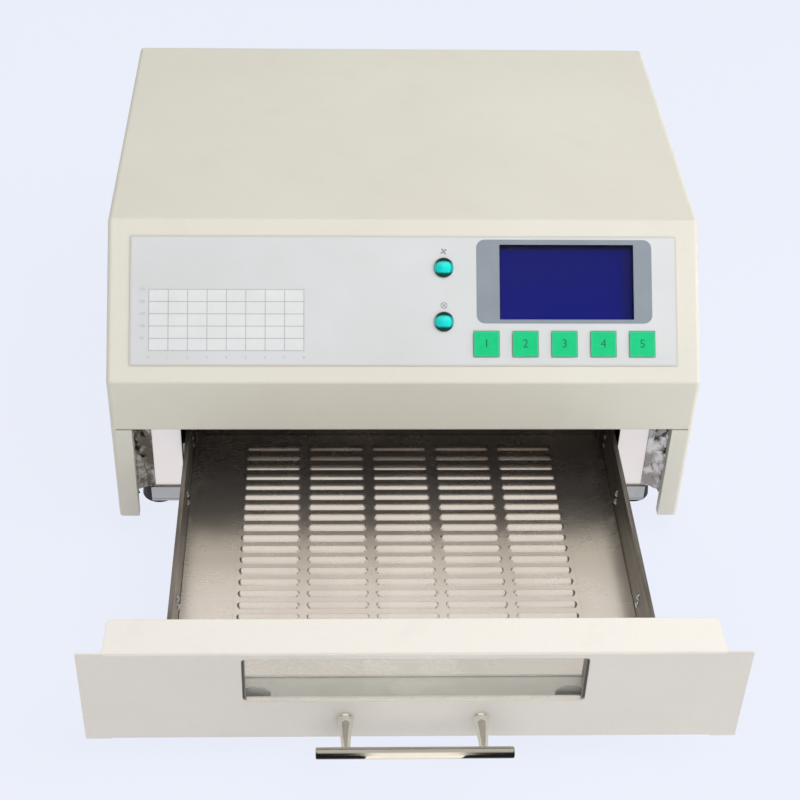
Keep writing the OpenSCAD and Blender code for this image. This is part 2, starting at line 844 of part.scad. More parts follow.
module lamp(i) {
  tube_x = lamp_end_x - lamp_end_l;
  at_origin() translate([0, lamp_y + i * lamp_pitch, lamp_z]) rotate([0, 90, 0]) {
    color("#f2f2ee") difference() {
      cylinder(r = lamp_r, h = 2 * tube_x, center = true);
      cylinder(r = lamp_r - lamp_wall, h = 2 * tube_x + 1, center = true);
    }
    color("#8a8178") cylinder(r = 0.8, h = 2 * tube_x, center = true, $fn = 16);
    color("#e8e2d6") for (s = side) translate([0, 0, s * (tube_x + lamp_end_l / 2)])
      cylinder(r = lamp_end_r, h = lamp_end_l, center = true);
  }
}

module lamp_1() { lamp(0); }
module lamp_2() { lamp(1); }
module lamp_3() { lamp(2); }
module lamp_4() { lamp(3); }

module lamp_brackets() {
  y0 = lamp_y - bracket_margin;
  y1 = lamp_y + (lamp_n - 1) * lamp_pitch + bracket_margin;
  at_origin() color(steel) difference() {
    both_sides() block([liner_out_x, y0, lamp_z - bracket_h / 2],
                       [liner_out_x + bracket_t, y1, lamp_z + bracket_h / 2]);
    lamp_axes() cylinder(r = lamp_end_r + 0.1, h = 2 * body_w, center = true);
  }
}

module temperature_probes() {
  head_z = liner_top_z + insulation_t;
  at_origin() probe_places() {
    color(steel) translate([0, 0, probe_tip_z + probe_r]) cylinder(r = probe_r, h = head_z - probe_tip_z);
    color(steel) translate([0, 0, probe_tip_z + probe_r]) sphere(probe_r);
    color("#e8e2d6") translate([0, 0, head_z]) cylinder(r = 4, h = 8);
  }
}

// Rails and runners

module rail() {
  lip = rail_web_x - tray_out_x - rail_lip_gap;
  difference() {
    block([rail_web_x - lip, rail_y0, rail_z1], [rail_web_x, rail_y1, rail_z2]);
    block([0, 0, rail_z1 + rail_t], [rail_web_x - rail_t, body_d, rail_z2 - rail_t]);
  }
  for (y = [rail_y0 + rail_seat_inset, rail_y1 - rail_seat_inset])
    block([rail_web_x - eps, y - rail_seat[0] / 2, rail_z1 + rail_seat[1]],
          [mouth_x, y + rail_seat[0] / 2, rail_z2 - rail_seat[1]]);
}

module rail_left() { at_origin() color(steel) mirror([1, 0, 0]) rail(); }
module rail_right() { at_origin() color(steel) rail(); }

module rivet_places() {
  for (y = rivet_ys, z = rivet_zs) translate([tray_in_x, y, z]) rotate([0, 90, 0]) children();
}

module runner() {
  difference() {
    block([tray_out_x, runner_y0, rail_z1 + rail_t + runner_gap],
          [runner_x, tray_y1 - 1, rail_z2 - rail_t - runner_gap]);
    rivet_places() cylinder(r = rivet_r + 0.05, h = 40, center = true, $fn = 24);
  }
}

module runner_left() { in_drawer() color(steel) mirror([1, 0, 0]) runner(); }
module runner_right() { in_drawer() color(steel) runner(); }

module tray_rivets() {
  in_drawer() color("#8b8782") both_sides() rivet_places() {
    cylinder(r = rivet_r, h = runner_x - tray_in_x, $fn = 24);
    intersection() {
      translate([0, 0, 1.2]) sphere(2.4, $fn = 24);
      translate([0, 0, -3]) cylinder(r = 3, h = 3);
    }
  }
}

// Drawer

// The plan of a fold behind the front plate: its ends widen in a long curve where they meet it
module fold_plan(depth) {
  flare_r = (flare_l * flare_l + flare_w * flare_w) / (2 * flare_w);
  difference() {
    translate([-fold_end_x - flare_w, front_in_y]) square([2 * (fold_end_x + flare_w), depth]);
    both_sides() {
      translate([fold_end_x, front_in_y + flare_l]) square([2 * flare_w, depth]);
      translate([fold_end_x + flare_r, front_in_y + flare_l]) circle(flare_r);
      translate([fold_end_x - fold_corner_r, front_in_y + depth - fold_corner_r]) difference() {
        square(2 * fold_corner_r);
        circle(fold_corner_r);
      }
    }
  }
}

module drawer_front() {
  bend = front_bend_r + sheet_t;
  in_drawer() color(cream_light) {
    difference() {
      block([-body_w / 2, front_out_y, front_foot_z], [body_w / 2, front_in_y, front_top_z]);
      for (z = [front_top_z - bend, front_foot_z - eps])
        block([-fold_end_x, front_out_y - 1, z], [fold_end_x, front_in_y + 1, z + bend + eps]);
      translate([0, 0, (window_z0 + window_z1) / 2]) rotate([90, 0, 0])
        linear_extrude(20, center = true) rounded_rect(window_w, window_h, window_r);
      handle_places() cylinder(r = screw_r + screw_gap, h = 20, center = true);
    }
    along_x(fold_end_x) translate([front_out_y, front_top_z]) mirror([0, 1])
      angle_section(bend + 1, bend + eps, sheet_t, front_bend_r);
    along_x(fold_end_x) translate([front_out_y, front_foot_z])
      angle_section(bend + 1, bend + eps, sheet_t, front_bend_r);
    difference() {
      union() {
        translate([0, 0, front_top_z - sheet_t]) linear_extrude(sheet_t) fold_plan(front_fold);
        translate([0, 0, front_foot_z]) linear_extrude(sheet_t) fold_plan(front_hem);
      }
      block([-fold_end_x, front_out_y - 1, 0], [fold_end_x, front_out_y + bend, body_h]);
    }
  }
}

module handle_places() {
  for (s = side) translate([s * handle_w / 2, front_out_y, post_z]) rotate([90, 0, 0]) children();
}

module window_ring(outer_w, z0, z1, margin) {
  difference() {
    translate([0, (z0 + z1) / 2]) rounded_rect(outer_w, z1 - z0, 1);
    translate([0, (window_z0 + window_z1) / 2])
      square([window_w - 2 * margin, window_h - 2 * margin], center = true);
  }
}

module glass_seal() {
  in_drawer() color("#4a4845") translate([0, seal_y, 0]) rotate([90, 0, 0]) mirror([0, 0, 1])
    linear_extrude(seal_t) window_ring(glass_w, glass_z0, glass_z1, seal_show);
}

module window_glass() {
  in_drawer() color("#dfe8e6", 0.4)
    block([-glass_w / 2, glass_y, glass_z0], [glass_w / 2, glass_y + glass_t, glass_z1]);
}

module glass_clips() {
  clip_y = glass_y + glass_t;
  in_drawer() color(dark_steel) both_sides() {
    translate([clip_x, clip_y + clip_t, glass_z0]) rotate([90, 0, 0]) linear_extrude(clip_t)
      intersection() {
        circle(clip_r + 2);
        translate([-clip_r, -clip_t]) square([2 * clip_r, 2 * clip_r]);
      }
    block([clip_x - clip_r, front_in_y, glass_z0 - clip_t], [clip_x + clip_r, clip_y + clip_t, glass_z0]);
    block([clip_x - clip_r, front_in_y, glass_z0 - 4], [clip_x + clip_r, front_in_y + clip_t, glass_z0]);
  }
}

// The tray's own front wall, with a window opening of its own
module inner_panel() {
  panel_x = tray_in_x - tray_play;
  panel_y1 = tray_y0 - tray_play;
  panel_z0 = ledge_z - 3.5;
  panel_z1 = baffle_top_z - sheet_t - 1.1;
  open_z0 = plate_z + 3;
  in_drawer() color(steel) {
    difference() {
      block([-panel_x, panel_y1 - tray_t, panel_z0], [panel_x, panel_y1, panel_z1]);
      block([-window_w / 2 - 2, 0, open_z0], [window_w / 2 + 2, body_d, panel_z1 - 3]);
    }
    both_sides() block([panel_x - tray_t, tray_y0 - 9, plate_z + tray_t],
                       [panel_x, panel_y1, wall_top_z - 3]);
  }
}

module tray_frame() {
  back_y = tray_y1 + tray_t;
  hem_y0 = front_in_y + tray_flange_w;
  in_drawer() color(steel) difference() {
    union() {
      both_sides() {
        // Side wall, its hemmed rim, the ledge under the plate and the flange at the front plate
        block([tray_in_x, front_in_y, ledge_z], [tray_out_x, back_y, wall_top_z]);
        block([tray_in_x, hem_y0, wall_top_z - tray_t], [tray_out_x + hem_w, back_y, wall_top_z]);
        block([tray_out_x + hem_w - tray_t * 0.6, hem_y0, wall_top_z - hem_h],
              [tray_out_x + hem_w, back_y, wall_top_z]);
        block([tray_in_x - ledge_w, tray_y0, ledge_z], [tray_out_x, back_y, tray_floor_z]);
        block([tray_in_x, front_in_y, ledge_z],
              [tray_out_x + tray_flange_w, front_in_y + tray_t, wall_top_z]);
      }
      block([-tray_out_x, tray_y1, ledge_z], [tray_out_x, back_y, wall_top_z]);
      block([-tray_out_x, tray_y1 - ledge_w, ledge_z], [tray_out_x, back_y, tray_floor_z]);
      block([-tray_out_x, tray_y0, ledge_z], [tray_out_x, tray_y0 + ledge_w, tray_floor_z]);
    }
    both_sides() rivet_places() cylinder(r = rivet_r + 0.05, h = 40, center = true, $fn = 24);
  }
}

// Half of a louvre's hood: a capsule with its axis below the plate, cut upright at its lip.
// Its root is at the front, at y = 0, and its lip opens to the back
module hood(shrink, floor_z) {
  r = (louvre_w * louvre_w + louvre_h * louvre_h) / (2 * louvre_h);
  half_l = louvre_l / 2 - louvre_w;
  translate([0, louvre_w, 0]) mirror([0, 1, 0]) intersection() {
    translate([0, 0, louvre_h - r]) {
      rotate([0, 90, 0]) cylinder(r = r - shrink, h = 2 * half_l, center = true, $fn = 64);
      for (s = side) translate([s * half_l, 0, 0]) rotate_extrude($fn = 64) intersection() {
        circle(r - shrink);
        translate([0, -r]) square([r, 2 * r]);
      }
    }
    block([-louvre_l, 0, floor_z], [louvre_l, 2 * louvre_w, louvre_h + 1]);
  }
}

module louvre_places() {
  for (i = [0 : louvre_cols - 1], j = [0 : louvre_rows - 1])
    translate([(i - (louvre_cols - 1) / 2) * louvre_pitch_x,
               tray_y1 - louvre_back - j * louvre_pitch_y, plate_z]) children();
}

module louvred_plate() {
  plate_x = tray_in_x - tray_play;
  in_drawer() color("#c9c5bd") difference() {
    union() {
      block([-plate_x, tray_y0, tray_floor_z], [plate_x, tray_y1 - tray_play, plate_z]);
      louvre_places() hood(0, -tray_t / 2);
    }
    louvre_places() translate([0, eps, 0]) hood(louvre_t, -2 * tray_t);
  }
}

// Handle

module handle_posts() {
  post_l = handle_reach;
  in_drawer() color("#d8d6d0") difference() {
    handle_places() rotate_extrude() polygon([
      [0, 0], [post_r, 0], [post_r, 1.2], [post_r * 0.9, 2], [post_r * 0.88, 5],
      [stem_r + 0.4, post_l * 0.6], [stem_r, post_l * 0.75], [stem_r, post_l], [0, post_l]
    ]);
    handle_axis() cylinder(r = bar_d / 2, h = bar_l, center = true);
    handle_places() translate([0, 0, -1]) cylinder(r = screw_r + 0.02, h = 7);
  }
}

module handle_axis() {
  translate([0, bar_y, post_z]) rotate([0, 90, 0]) children();
}

module handle_bar() {
  chamfer = 0.5;
  half_l = bar_l / 2;
  in_drawer() color("#d8d6d0") handle_axis() rotate_extrude() polygon([
    [0, -half_l], [bar_d / 2 - chamfer, -half_l], [bar_d / 2, -half_l + chamfer],
    [bar_d / 2, half_l - chamfer], [bar_d / 2 - chamfer, half_l], [0, half_l]
  ]);
}

module handle_screws() {
  in_drawer() color(steel) handle_places() translate([0, 0, -sheet_t]) mirror([0, 0, 1]) screw(5.5);
}

// Control panel

module panel_overlay() {
  at_origin() color("#dbdbde") on_panel(0, 0) difference() {
    linear_extrude(overlay_t) rounded_rect(overlay_w, overlay_h, overlay_r);
    panel_cuts(0, lens_r + 0.1);
    each_key() cube([key_w + 2 * key_hole_gap, key_w + 2 * key_hole_gap, 4 * overlay_t], center = true);
  }
}

module lcd_window() {
  at_origin() color("#26305e", 0.4) on_panel(display_x, display_v, sheet_t)
    linear_extrude(sheet_t)
      square([display_w + 2 * display_lap, display_h + 2 * display_lap], center = true);
}

module lcd_module() {
  at_origin() {
    color("#3a3a3c") on_panel(display_x, lcd_v, sheet_t + fit + lcd_frame_t) difference() {
      linear_extrude(lcd_frame_t) square([lcd_frame_w, lcd_frame_h], center = true);
      translate([0, display_v - lcd_v, 1]) linear_extrude(lcd_frame_t)
        square([display_w + 0.6, display_h + 0.6], center = true);
    }
    color("#2f6b3c") on_panel(display_x, lcd_v, sheet_t + fit + lcd_frame_t + board_t)
      linear_extrude(board_t) square([lcd_pcb_w, lcd_pcb_h], center = true);
  }
}

module lcd_screen() {
  at_origin() color("#141c73") on_panel(display_x, display_v, sheet_t + fit + lcd_frame_t - 1)
    linear_extrude(2.8) square([display_w + 0.4, display_h + 0.4], center = true);
}

module indicator_places() {
  for (s = side) on_panel(lamp_x, lamp_v + s * lamp_gap / 2) children();
}

module indicator_rings() {
  at_origin() color("#2b3233") indicator_places() translate([0, 0, overlay_t]) rotate_extrude()
    polygon([[lens_r + 0.1, 0], [ring_r, 0], [ring_r, 0.8], [ring_r - 0.4, 1.2], [lens_r + 0.1, 1.2]]);
}

module indicator_lenses() {
  dome_h = 2.4;
  at_origin() color("#1aa79a") indicator_places() {
    rotate_extrude() {
      square([lens_r, overlay_t + 0.6]);
      translate([0, overlay_t + 0.6]) intersection() {
        translate([0, dome_h - (lens_r * lens_r + dome_h * dome_h) / (2 * dome_h)])
          circle((lens_r * lens_r + dome_h * dome_h) / (2 * dome_h), $fn = 64);
        square([lens_r, dome_h]);
      }
    }
    translate([0, 0, -7]) cylinder(r = lens_r - 0.4, h = 7);
    for (s = side) translate([s * 1.3, 0, -board_depth]) cylinder(r = 0.4, h = board_depth - 7, $fn = 16);
  }
}

module panel_key(i) {
  stem_l = board_depth - switch_h - stem_gap - key_travel;
  at_origin() color("#1fd08c") on_panel(key_x + i * key_pitch, -key_v, -key_rest_gap) {
    linear_extrude(key_t) rounded_rect(key_w, key_w, 0.8);
    translate([0, 0, -stem_l - key_rest_gap]) cylinder(r = key_stem_r, h = stem_l + key_rest_gap);
  }
}

module key_1() { panel_key(0); }
module key_2() { panel_key(1); }
module key_3() { panel_key(2); }
module key_4() { panel_key(3); }
module key_5() { panel_key(4); }

module controller_board() {
  at_origin() {
    color("#2f6b3c") on_panel(0, 0, board_depth + board_t) linear_extrude(board_t)
      translate([board_x0, board_v0]) square([board_x1 - board_x0, board_v1 - board_v0]);
    color("#222222") on_panel(0, 0, board_depth) each_key()
      linear_extrude(switch_h) square(6, center = true);
    color("#333333") on_panel(40, 4, board_depth + board_t + 3) linear_extrude(3)
      square([26, 14], center = true);
  }
}

module panel_pillar_places() {
  for (x = [board_x0 + pillar_inset, board_x1 - pillar_inset],
       v = [board_v0 + pillar_inset, board_v1 - pillar_inset])
    on_panel(x, v, board_depth) children();
}

module power_pillar_places() {
  for (x = [power_board_x0 + pillar_inset, power_board_x0 + power_board_w - pillar_inset],
       z = [power_board_z0 + pillar_inset, power_board_z0 + power_board_h - pillar_inset])
    on_rear(x, z, power_board_y) children();
}

module board_pillars() {
  at_origin() color("#c8b26a") {
    panel_pillar_places() cylinder(r = pillar_r, h = board_depth - sheet_t - eps, $fn = 6);
    power_pillar_places() cylinder(r = pillar_r, h = rear_in_y - power_board_y, $fn = 6);
  }
}

// Rear panel's pieces

module fan_frame() {
  at_origin() color("#232325") on_rear(fan_x, fan_axis_z, fan_y) {
    difference() {
      linear_extrude(fan_d) difference() {
        rounded_rect(fan_w, fan_w, 4);
        circle(fan_bore_r, $fn = 96);
      }
      for (sx = side, sy = side) translate([sx * fan_screw_gap / 2, sy * fan_screw_gap / 2, -1])
        cylinder(r = screw_r + screw_gap, h = fan_d + 2);
    }
    for (i = [0 : 3]) rotate([0, 0, 45 + 90 * i]) translate([0, -1.5, 0])
      cube([fan_bore_r + 1, 3, 2.5]);
    cylinder(r = fan_bore_r * 0.42, h = 3.5);
    cylinder(r = 1.5, h = fan_d * 0.6);
  }
}

module fan_rotor() {
  hub_r = fan_bore_r * 0.4;
  tip_r = fan_bore_r - 1;
  hub_h = fan_d - 8;
  at_origin() color("#303033") on_rear(fan_x, fan_axis_z, fan_y + 4) difference() {
    union() {
      cylinder(r = hub_r, h = hub_h);
      intersection() {
        for (i = [0 : blade_n - 1]) rotate([0, 0, i * 360 / blade_n])
          translate([(hub_r + tip_r) / 2, 0, hub_h / 2]) rotate([38, 0, 0])
            cube([tip_r - hub_r + 6, hub_h * 1.25, 1.6], center = true);
        translate([0, 0, 0.5]) cylinder(r = tip_r, h = hub_h - 1, $fn = 96);
      }
    }
    cylinder(r = 1.55, h = fan_d * 0.6 - 3);
  }
}

// Rings of wire on four legs, each leg ending in a flat eye under a screw
module fan_guard() {
  wire_z = guard_wire_r + 0.2;
  ring_z = wire_z + 2 * guard_wire_r + eps;
  eye_x = norm([fan_screw_gap / 2, fan_screw_gap / 2]);
  ring_rs = [for (k = [1 : guard_rings]) fan_bore_r * k / (guard_rings + 0.2)];
  at_origin() color(steel) on_rear(fan_x, fan_axis_z) {
    for (r = ring_rs) translate([0, 0, ring_z]) rotate_extrude($fn = 96)
      translate([r, 0]) circle(guard_wire_r, $fn = 16);
    for (i = [0 : 3]) rotate([0, 0, 45 + 90 * i]) {
      leg_x = ring_rs[0] - 2 * guard_wire_r;
      translate([leg_x, 0, wire_z]) rotate([0, 90, 0])
        cylinder(r = guard_wire_r, h = eye_x - guard_eye_r + 0.6 - leg_x, $fn = 16);
      translate([eye_x, 0, 0]) difference() {
        cylinder(r = guard_eye_r, h = guard_eye_t);
        cylinder(r = screw_r + screw_gap, h = 9, center = true);
      }
    }
  }
}

// The socket's outline: a rectangle whose two upper corners are cut off (its y points down)
module inlet_outline() {
  w = inlet_socket[0] / 2;
  h = inlet_socket[1] / 2;
  cut = 5;
  polygon([[-w, h], [w, h], [w, cut - h], [w - cut, -h], [cut - w, -h], [-w, cut - h]]);
}

module mains_inlet() {
  pin_size = [2, 4];
  pin_places = [[-7, 2], [0, -2], [7, 2]];
  pin_recess = 4.6;
  floor_z = -inlet_socket[2];
  at_origin() color("#1d1d1f") on_rear(inlet_x, inlet_axis_z) {
    difference() {
      union() {
        linear_extrude(inlet_plate[2]) rounded_rect(inlet_plate[0], inlet_plate[1], 5);
        translate([0, 0, -inlet_body[2]]) linear_extrude(inlet_body[2])
          square([inlet_body[0], inlet_body[1]], center = true);
      }
      translate([0, 0, floor_z]) linear_extrude(2 * inlet_socket[2]) inlet_outline();
      for (s = side) translate([s * inlet_screw_x, 0, -1]) cylinder(r = screw_r, h = inlet_plate[2] + 2);
    }
    for (p = pin_places) translate([p[0], p[1], floor_z - 1])
      linear_extrude(1 - floor_z + inlet_plate[2] - pin_recess) square(pin_size, center = true);
  }
}

module switch_body() {
  at_origin() color("#1d1d1f") on_rear(switch_x, inlet_axis_z) difference() {
    union() {
      linear_extrude(switch_plate[2]) rounded_rect(switch_plate[0], switch_plate[1], 1.5);
      translate([0, 0, -switch_box[2]]) linear_extrude(switch_box[2])
        square([switch_box[0], switch_box[1]], center = true);
    }
    translate([0, 0, -switch_well[2]]) linear_extrude(3 * switch_well[2])
      square([switch_well[0], switch_well[1]], center = true);
    translate([0, 0, rocker_pivot]) rotate([0, 90, 0])
      cylinder(r = rocker_pin_r + 0.05, h = rocker_w + 2, center = true);
  }
}

module power_rocker() {
  tip = 1.5;
  at_origin() color("#101012") on_rear(switch_x, inlet_axis_z) translate([0, 0, rocker_pivot])
    rotate([rocker_tilt, 0, 0]) {
      rotate([90, 0, 90]) linear_extrude(rocker_w, center = true) polygon([
        [-rocker_half, 0.4], [-rocker_half + tip, -2.4], [0, -3.6], [rocker_half - tip, -2.4],
        [rocker_half, 0.4], [rocker_half, 3.6], [0, 2.0], [-rocker_half, 3.6]
      ]);
      rotate([0, 90, 0]) cylinder(r = rocker_pin_r, h = rocker_w + 1.8, center = true);
    }
}

module fuse_holder() {
  chamfer = 0.8;
  cap_r = fuse_r - 0.1;
  at_origin() color("#1d1d1f") on_rear(fuse_x, inlet_axis_z) {
    cylinder(r = fuse_collar_r, h = 2);
    cylinder(r = cap_r, h = fuse_cap_h - chamfer);
    translate([0, 0, fuse_cap_h - chamfer]) cylinder(r1 = cap_r, r2 = cap_r - chamfer, h = chamfer);
    translate([0, 0, -22]) cylinder(r = fuse_r, h = 22);
  }
}

module power_board() {
  at_origin() {
    color("#2f6b3c") block([power_board_x0, power_board_y - board_t, power_board_z0],
      [power_board_x0 + power_board_w, power_board_y, power_board_z0 + power_board_h]);
    color("#20304a") for (i = [0 : 2])
      translate([power_board_x0 + 16 + i * 13, power_board_y - board_t, capacitor_z])
        rotate([90, 0, 0]) cylinder(r = capacitor[0], h = capacitor[1]);
    color("#222222") for (i = [0 : 2]) block(
      [power_board_x0 + 12 + i * 18, power_board_y - board_t - 3, power_board_z0 + 10],
      [power_board_x0 + 22 + i * 18, power_board_y - board_t, power_board_z0 + 25]);
  }
}

// The coil stands on the board, and the core lies round its middle
module transformer() {
  y = power_board_y - board_t - transformer_coil[1] / 2;
  at_origin() translate([transformer_x0, y, transformer_z0]) {
    color("#3a3a3c") cube(transformer_core, center = true);
    color("#b06a3a") cube(transformer_coil, center = true);
  }
}

module heatsink() {
  x0 = power_board_x0 + 8;
  z0 = power_board_z0 + 8;
  y1 = power_board_y - board_t - 3;
  at_origin() color("#a9abad") {
    block([x0, y1 - 3, z0], [x0 + 58, y1, z0 + 18]);
    for (i = [0 : 9]) block([x0 + i * 6.2, y1 - 13, z0], [x0 + i * 6.2 + 1.6, y1 - 3 + eps, z0 + 18]);
  }
}

outer_cover();
casing_screws();
panel_overlay();
lcd_window();
lcd_module();
lcd_screen();
indicator_rings();
indicator_lenses();
controller_board();
board_pillars();
key_1();
key_2();
key_3();
key_4();
key_5();
base_plate();
rear_panel();
foot_front_left();
foot_front_right();
foot_rear_left();
foot_rear_right();
foot_screws();
front_baffle();
foil_tape();
oven_liner();
insulation_blanket();
lamp_reflector();
lamp_1();
lamp_2();
lamp_3();
lamp_4();
lamp_brackets();
rail_left();
rail_right();
temperature_probes();
fan_frame();
fan_rotor();
fan_guard();
mains_inlet();
switch_body();
power_rocker();
fuse_holder();
power_board();
transformer();
heatsink();
drawer_front();
window_glass();
glass_seal();
glass_clips();
inner_panel();
tray_frame();
louvred_plate();
runner_left();
runner_right();
tray_rivets();
handle_bar();
handle_posts();
handle_screws();
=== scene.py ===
# Bench-top infrared reflow oven: its finishes and finer pieces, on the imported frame.
# Shapes are drawn in millimetres from the middle of the casing's front face, and set down in metres.
import json
import math

import bmesh
import bpy
from mathutils import Matrix, Vector, noise


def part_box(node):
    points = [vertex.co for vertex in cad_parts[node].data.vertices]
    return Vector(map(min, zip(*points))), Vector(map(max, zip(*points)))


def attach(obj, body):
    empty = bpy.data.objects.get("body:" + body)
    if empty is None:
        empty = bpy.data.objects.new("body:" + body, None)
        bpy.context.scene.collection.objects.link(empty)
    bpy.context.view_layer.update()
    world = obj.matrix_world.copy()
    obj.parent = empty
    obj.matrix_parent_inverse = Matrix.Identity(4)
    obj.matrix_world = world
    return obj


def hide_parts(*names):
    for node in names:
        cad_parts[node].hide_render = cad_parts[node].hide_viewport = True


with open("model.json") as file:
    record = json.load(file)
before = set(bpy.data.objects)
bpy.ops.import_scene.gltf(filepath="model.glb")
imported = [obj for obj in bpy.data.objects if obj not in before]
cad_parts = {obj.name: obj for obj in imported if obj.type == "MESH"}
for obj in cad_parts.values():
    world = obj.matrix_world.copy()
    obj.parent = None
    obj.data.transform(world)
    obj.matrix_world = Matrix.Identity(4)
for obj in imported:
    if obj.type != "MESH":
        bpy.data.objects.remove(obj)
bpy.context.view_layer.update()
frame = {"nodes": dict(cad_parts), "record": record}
nodes = frame["nodes"]
print("frame loaded:", len(nodes), "nodes")

mm = 0.001
glassSetBack = 0.7       # how far the window glass lies behind the drawer's zero
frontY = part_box("outer_cover")[0].y
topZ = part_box("outer_cover")[1].z / mm
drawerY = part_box("window_glass")[0].y - glassSetBack * mm     # the drawer's own zero, drawn out with it
inCasing = Matrix.Translation((0, frontY, 0)) @ Matrix.Scale(mm, 4)
inDrawer = Matrix.Translation((0, drawerY, 0)) @ Matrix.Scale(mm, 4)

# the sloping panel: x across, y up the slope and z out of it, from the overlay's middle
panel = {"headY": 59.3, "footZ": 107.7}
panelTilt = math.atan2(topZ - panel["footZ"], panel["headY"])
panelMiddle = Vector((0, panel["headY"] / 2, (topZ + panel["footZ"]) / 2))
onPanel = inCasing @ Matrix.Translation(panelMiddle) @ Matrix.Rotation(panelTilt, 4, "X")

# what lies on the panel; the finishes and the prints both go by these
film = {"rim": (141.7, 33.0), "rimFade": 0.5, "top": 0.5, "ink": 0.05,
        "surround": (83.7, 10.25, 92.2, 44.3, 4.4)}
display = {"middle": (85.0, 10.0), "size": (70.5, 39.6), "topShade": (26.6, 28.6), "endShade": (33.6, 35.0),
           "rightShade": (112, 120), "fade": (-8, 28)}
indicator = {"x": 20.5, "heights": (17.45, -11.05), "signRise": 8.6, "lensFade": (2.2, 3.5),
             "ringFade": (1.2, 3.4)}
keyRow = {"keys": 5, "first": 42.6, "pitch": 20.4, "height": -22.7, "edgeFade": (5.7, 6.6), "figure": 6.2,
          "ink": 0.03, "sunk": 0.01}
indicatorPitch = indicator["heights"][0] - indicator["heights"][1]


def screenColour(red, green, blue):
    def linear(c):
        return c / 12.92 if c <= 0.04045 else ((c + 0.055) / 1.055) ** 2.4
    return (linear(red / 255), linear(green / 255), linear(blue / 255), 1)


class Signal:
    # an output socket that sums can be written with
    def __init__(self, finish, socket):
        self.finish = finish
        self.socket = socket

    def __add__(self, other):
        return self.finish.maths("ADD", self, other)

    def __radd__(self, other):
        return self.finish.maths("ADD", other, self)

    def __sub__(self, other):
        return self.finish.maths("SUBTRACT", self, other)

    def __rsub__(self, other):
        return self.finish.maths("SUBTRACT", other, self)

    def __mul__(self, other):
        return self.finish.maths("MULTIPLY", self, other)

    def __rmul__(self, other):
        return self.finish.maths("MULTIPLY", other, self)

    def __gt__(self, other):
        return self.finish.maths("GREATER_THAN", self, other)

    def __lt__(self, other):
        return self.finish.maths("LESS_THAN", self, other)

    def __abs__(self):
        return self.finish.maths("ABSOLUTE", self)


class Network:
    # the nodes of one tree
    def __init__(self, tree):
        self.tree = tree

    def node(self, kind, settings={}, sockets={}, output=0):
        made = self.tree.nodes.new(kind)
        for key, value in settings.items():
            setattr(made, key, value)
        for key, value in sockets.items():
            if isinstance(value, Signal):
                self.tree.links.new(value.socket, made.inputs[key])
            else:
                made.inputs[key].default_value = value
        if isinstance(output, tuple):
            return [Signal(self, made.outputs[i]) for i in output]
        return Signal(self, made.outputs[output])

    def maths(self, operation, *values):
        return self.node("ShaderNodeMath", {"operation": operation}, dict(enumerate(values)))

    def mix(self, share, first, second):
        return self.node("ShaderNodeMix", {"data_type": "RGBA"}, {0: share, 6: first, 7: second}, 2)

    def axes(self, vector):
        return self.node("ShaderNodeSeparateXYZ", {}, {0: vector}, (0, 1, 2))

    def spread(self, value, low, high, start=0, end=1, kind="LINEAR"):
        return self.node("ShaderNodeMapRange", {"interpolation_type": kind}, {
            "Value": value, "From Min": low, "From Max": high, "To Min": start, "To Max": end})

    def ease(self, value, low, high, start=0, end=1):
        return self.spread(value, low, high, start, end, "SMOOTHSTEP")

    def seenBy(self):
        # camera rays, and the rays that metal and glass send on
        camera, glossy, transmitted = self.node("ShaderNodeLightPath", output=(0, 3, 6))
        return camera, self.maths("MAXIMUM", glossy, transmitted)


class Finish(Network):
    # one material; the numbers that are the same all over it stand on the shader's own sockets
    noiseReach = (0.3, 0.7)      # nearly all of a noise lies between these

    def __init__(self, name, **constants):
        self.material = bpy.data.materials.new(name)
        self.material.use_nodes = True
        Network.__init__(self, self.material.node_tree)
        self.shader = self.tree.nodes["Principled BSDF"]
        for socket, value in constants.items():
            self.shader.inputs[socket.replace("_", " ")].default_value = value

    def feed(self, **signals):
        for socket, signal in signals.items():
            self.tree.links.new(signal.socket, self.shader.inputs[socket.replace("_", " ")])
        return self

    def place(self, stretch=(1, 1, 1)):
        where = self.node("ShaderNodeTexCoord", output=3)
        return self.node("ShaderNodeMapping", {}, {"Vector": where, "Scale": stretch})

    def millimetres(self):
        return self.axes(self.place((1 / mm, 1 / mm, 1 / mm)))

    def panelPlace(self):
        where = self.node("ShaderNodeTexCoord", output=3)
        return self.axes(self.node("ShaderNodeMapping", {"vector_type": "TEXTURE"}, {
            "Vector": where, "Location": onPanel.translation, "Rotation": (panelTilt, 0, 0),
            "Scale": (mm, mm, mm)}))

    def noise(self, where, scale, detail=3, roughness=0.5, distortion=0):
        return self.node("ShaderNodeTexNoise", {}, {
            "Vector": where, "Scale": scale, "Detail": detail, "Roughness": roughness,
            "Distortion": distortion})

    def vary(self, cloud, first, second):
        # runs from one number or colour to another along a noise
        if isinstance(first, tuple):
            return self.mix(self.spread(cloud, *self.noiseReach), first, second)
        return self.spread(cloud, *self.noiseReach, first, second)

    def fromNearest(self, value, first, pitch):
        # how far a place lies from the nearest of a row of places
        return abs(self.maths("MODULO", value + (5.5 * pitch - first), pitch) - pitch / 2)

    def relief(self, height, depth, strength=1, edge=0):
        # a bump over edges that are rounded by a small radius
        sockets = {"Height": height, "Distance": depth * mm, "Strength": strength}
        if edge:
            sockets["Normal"] = self.node("ShaderNodeBevel", {"samples": 6}, {"Radius": edge * mm})
        return self.node("ShaderNodeBump", {}, sockets)


# where a finish changes along its piece, in millimetres
finishEdges = {"drawerFold": (0.5, 1.4), "sealEnd": (77.5, 79.2), "ceramicEnd": (111.2, 111.4),
               "trayWall": (113.6, 114.4), "trayRim": (60.6, 61.4), "trayRear": (26, 6)}


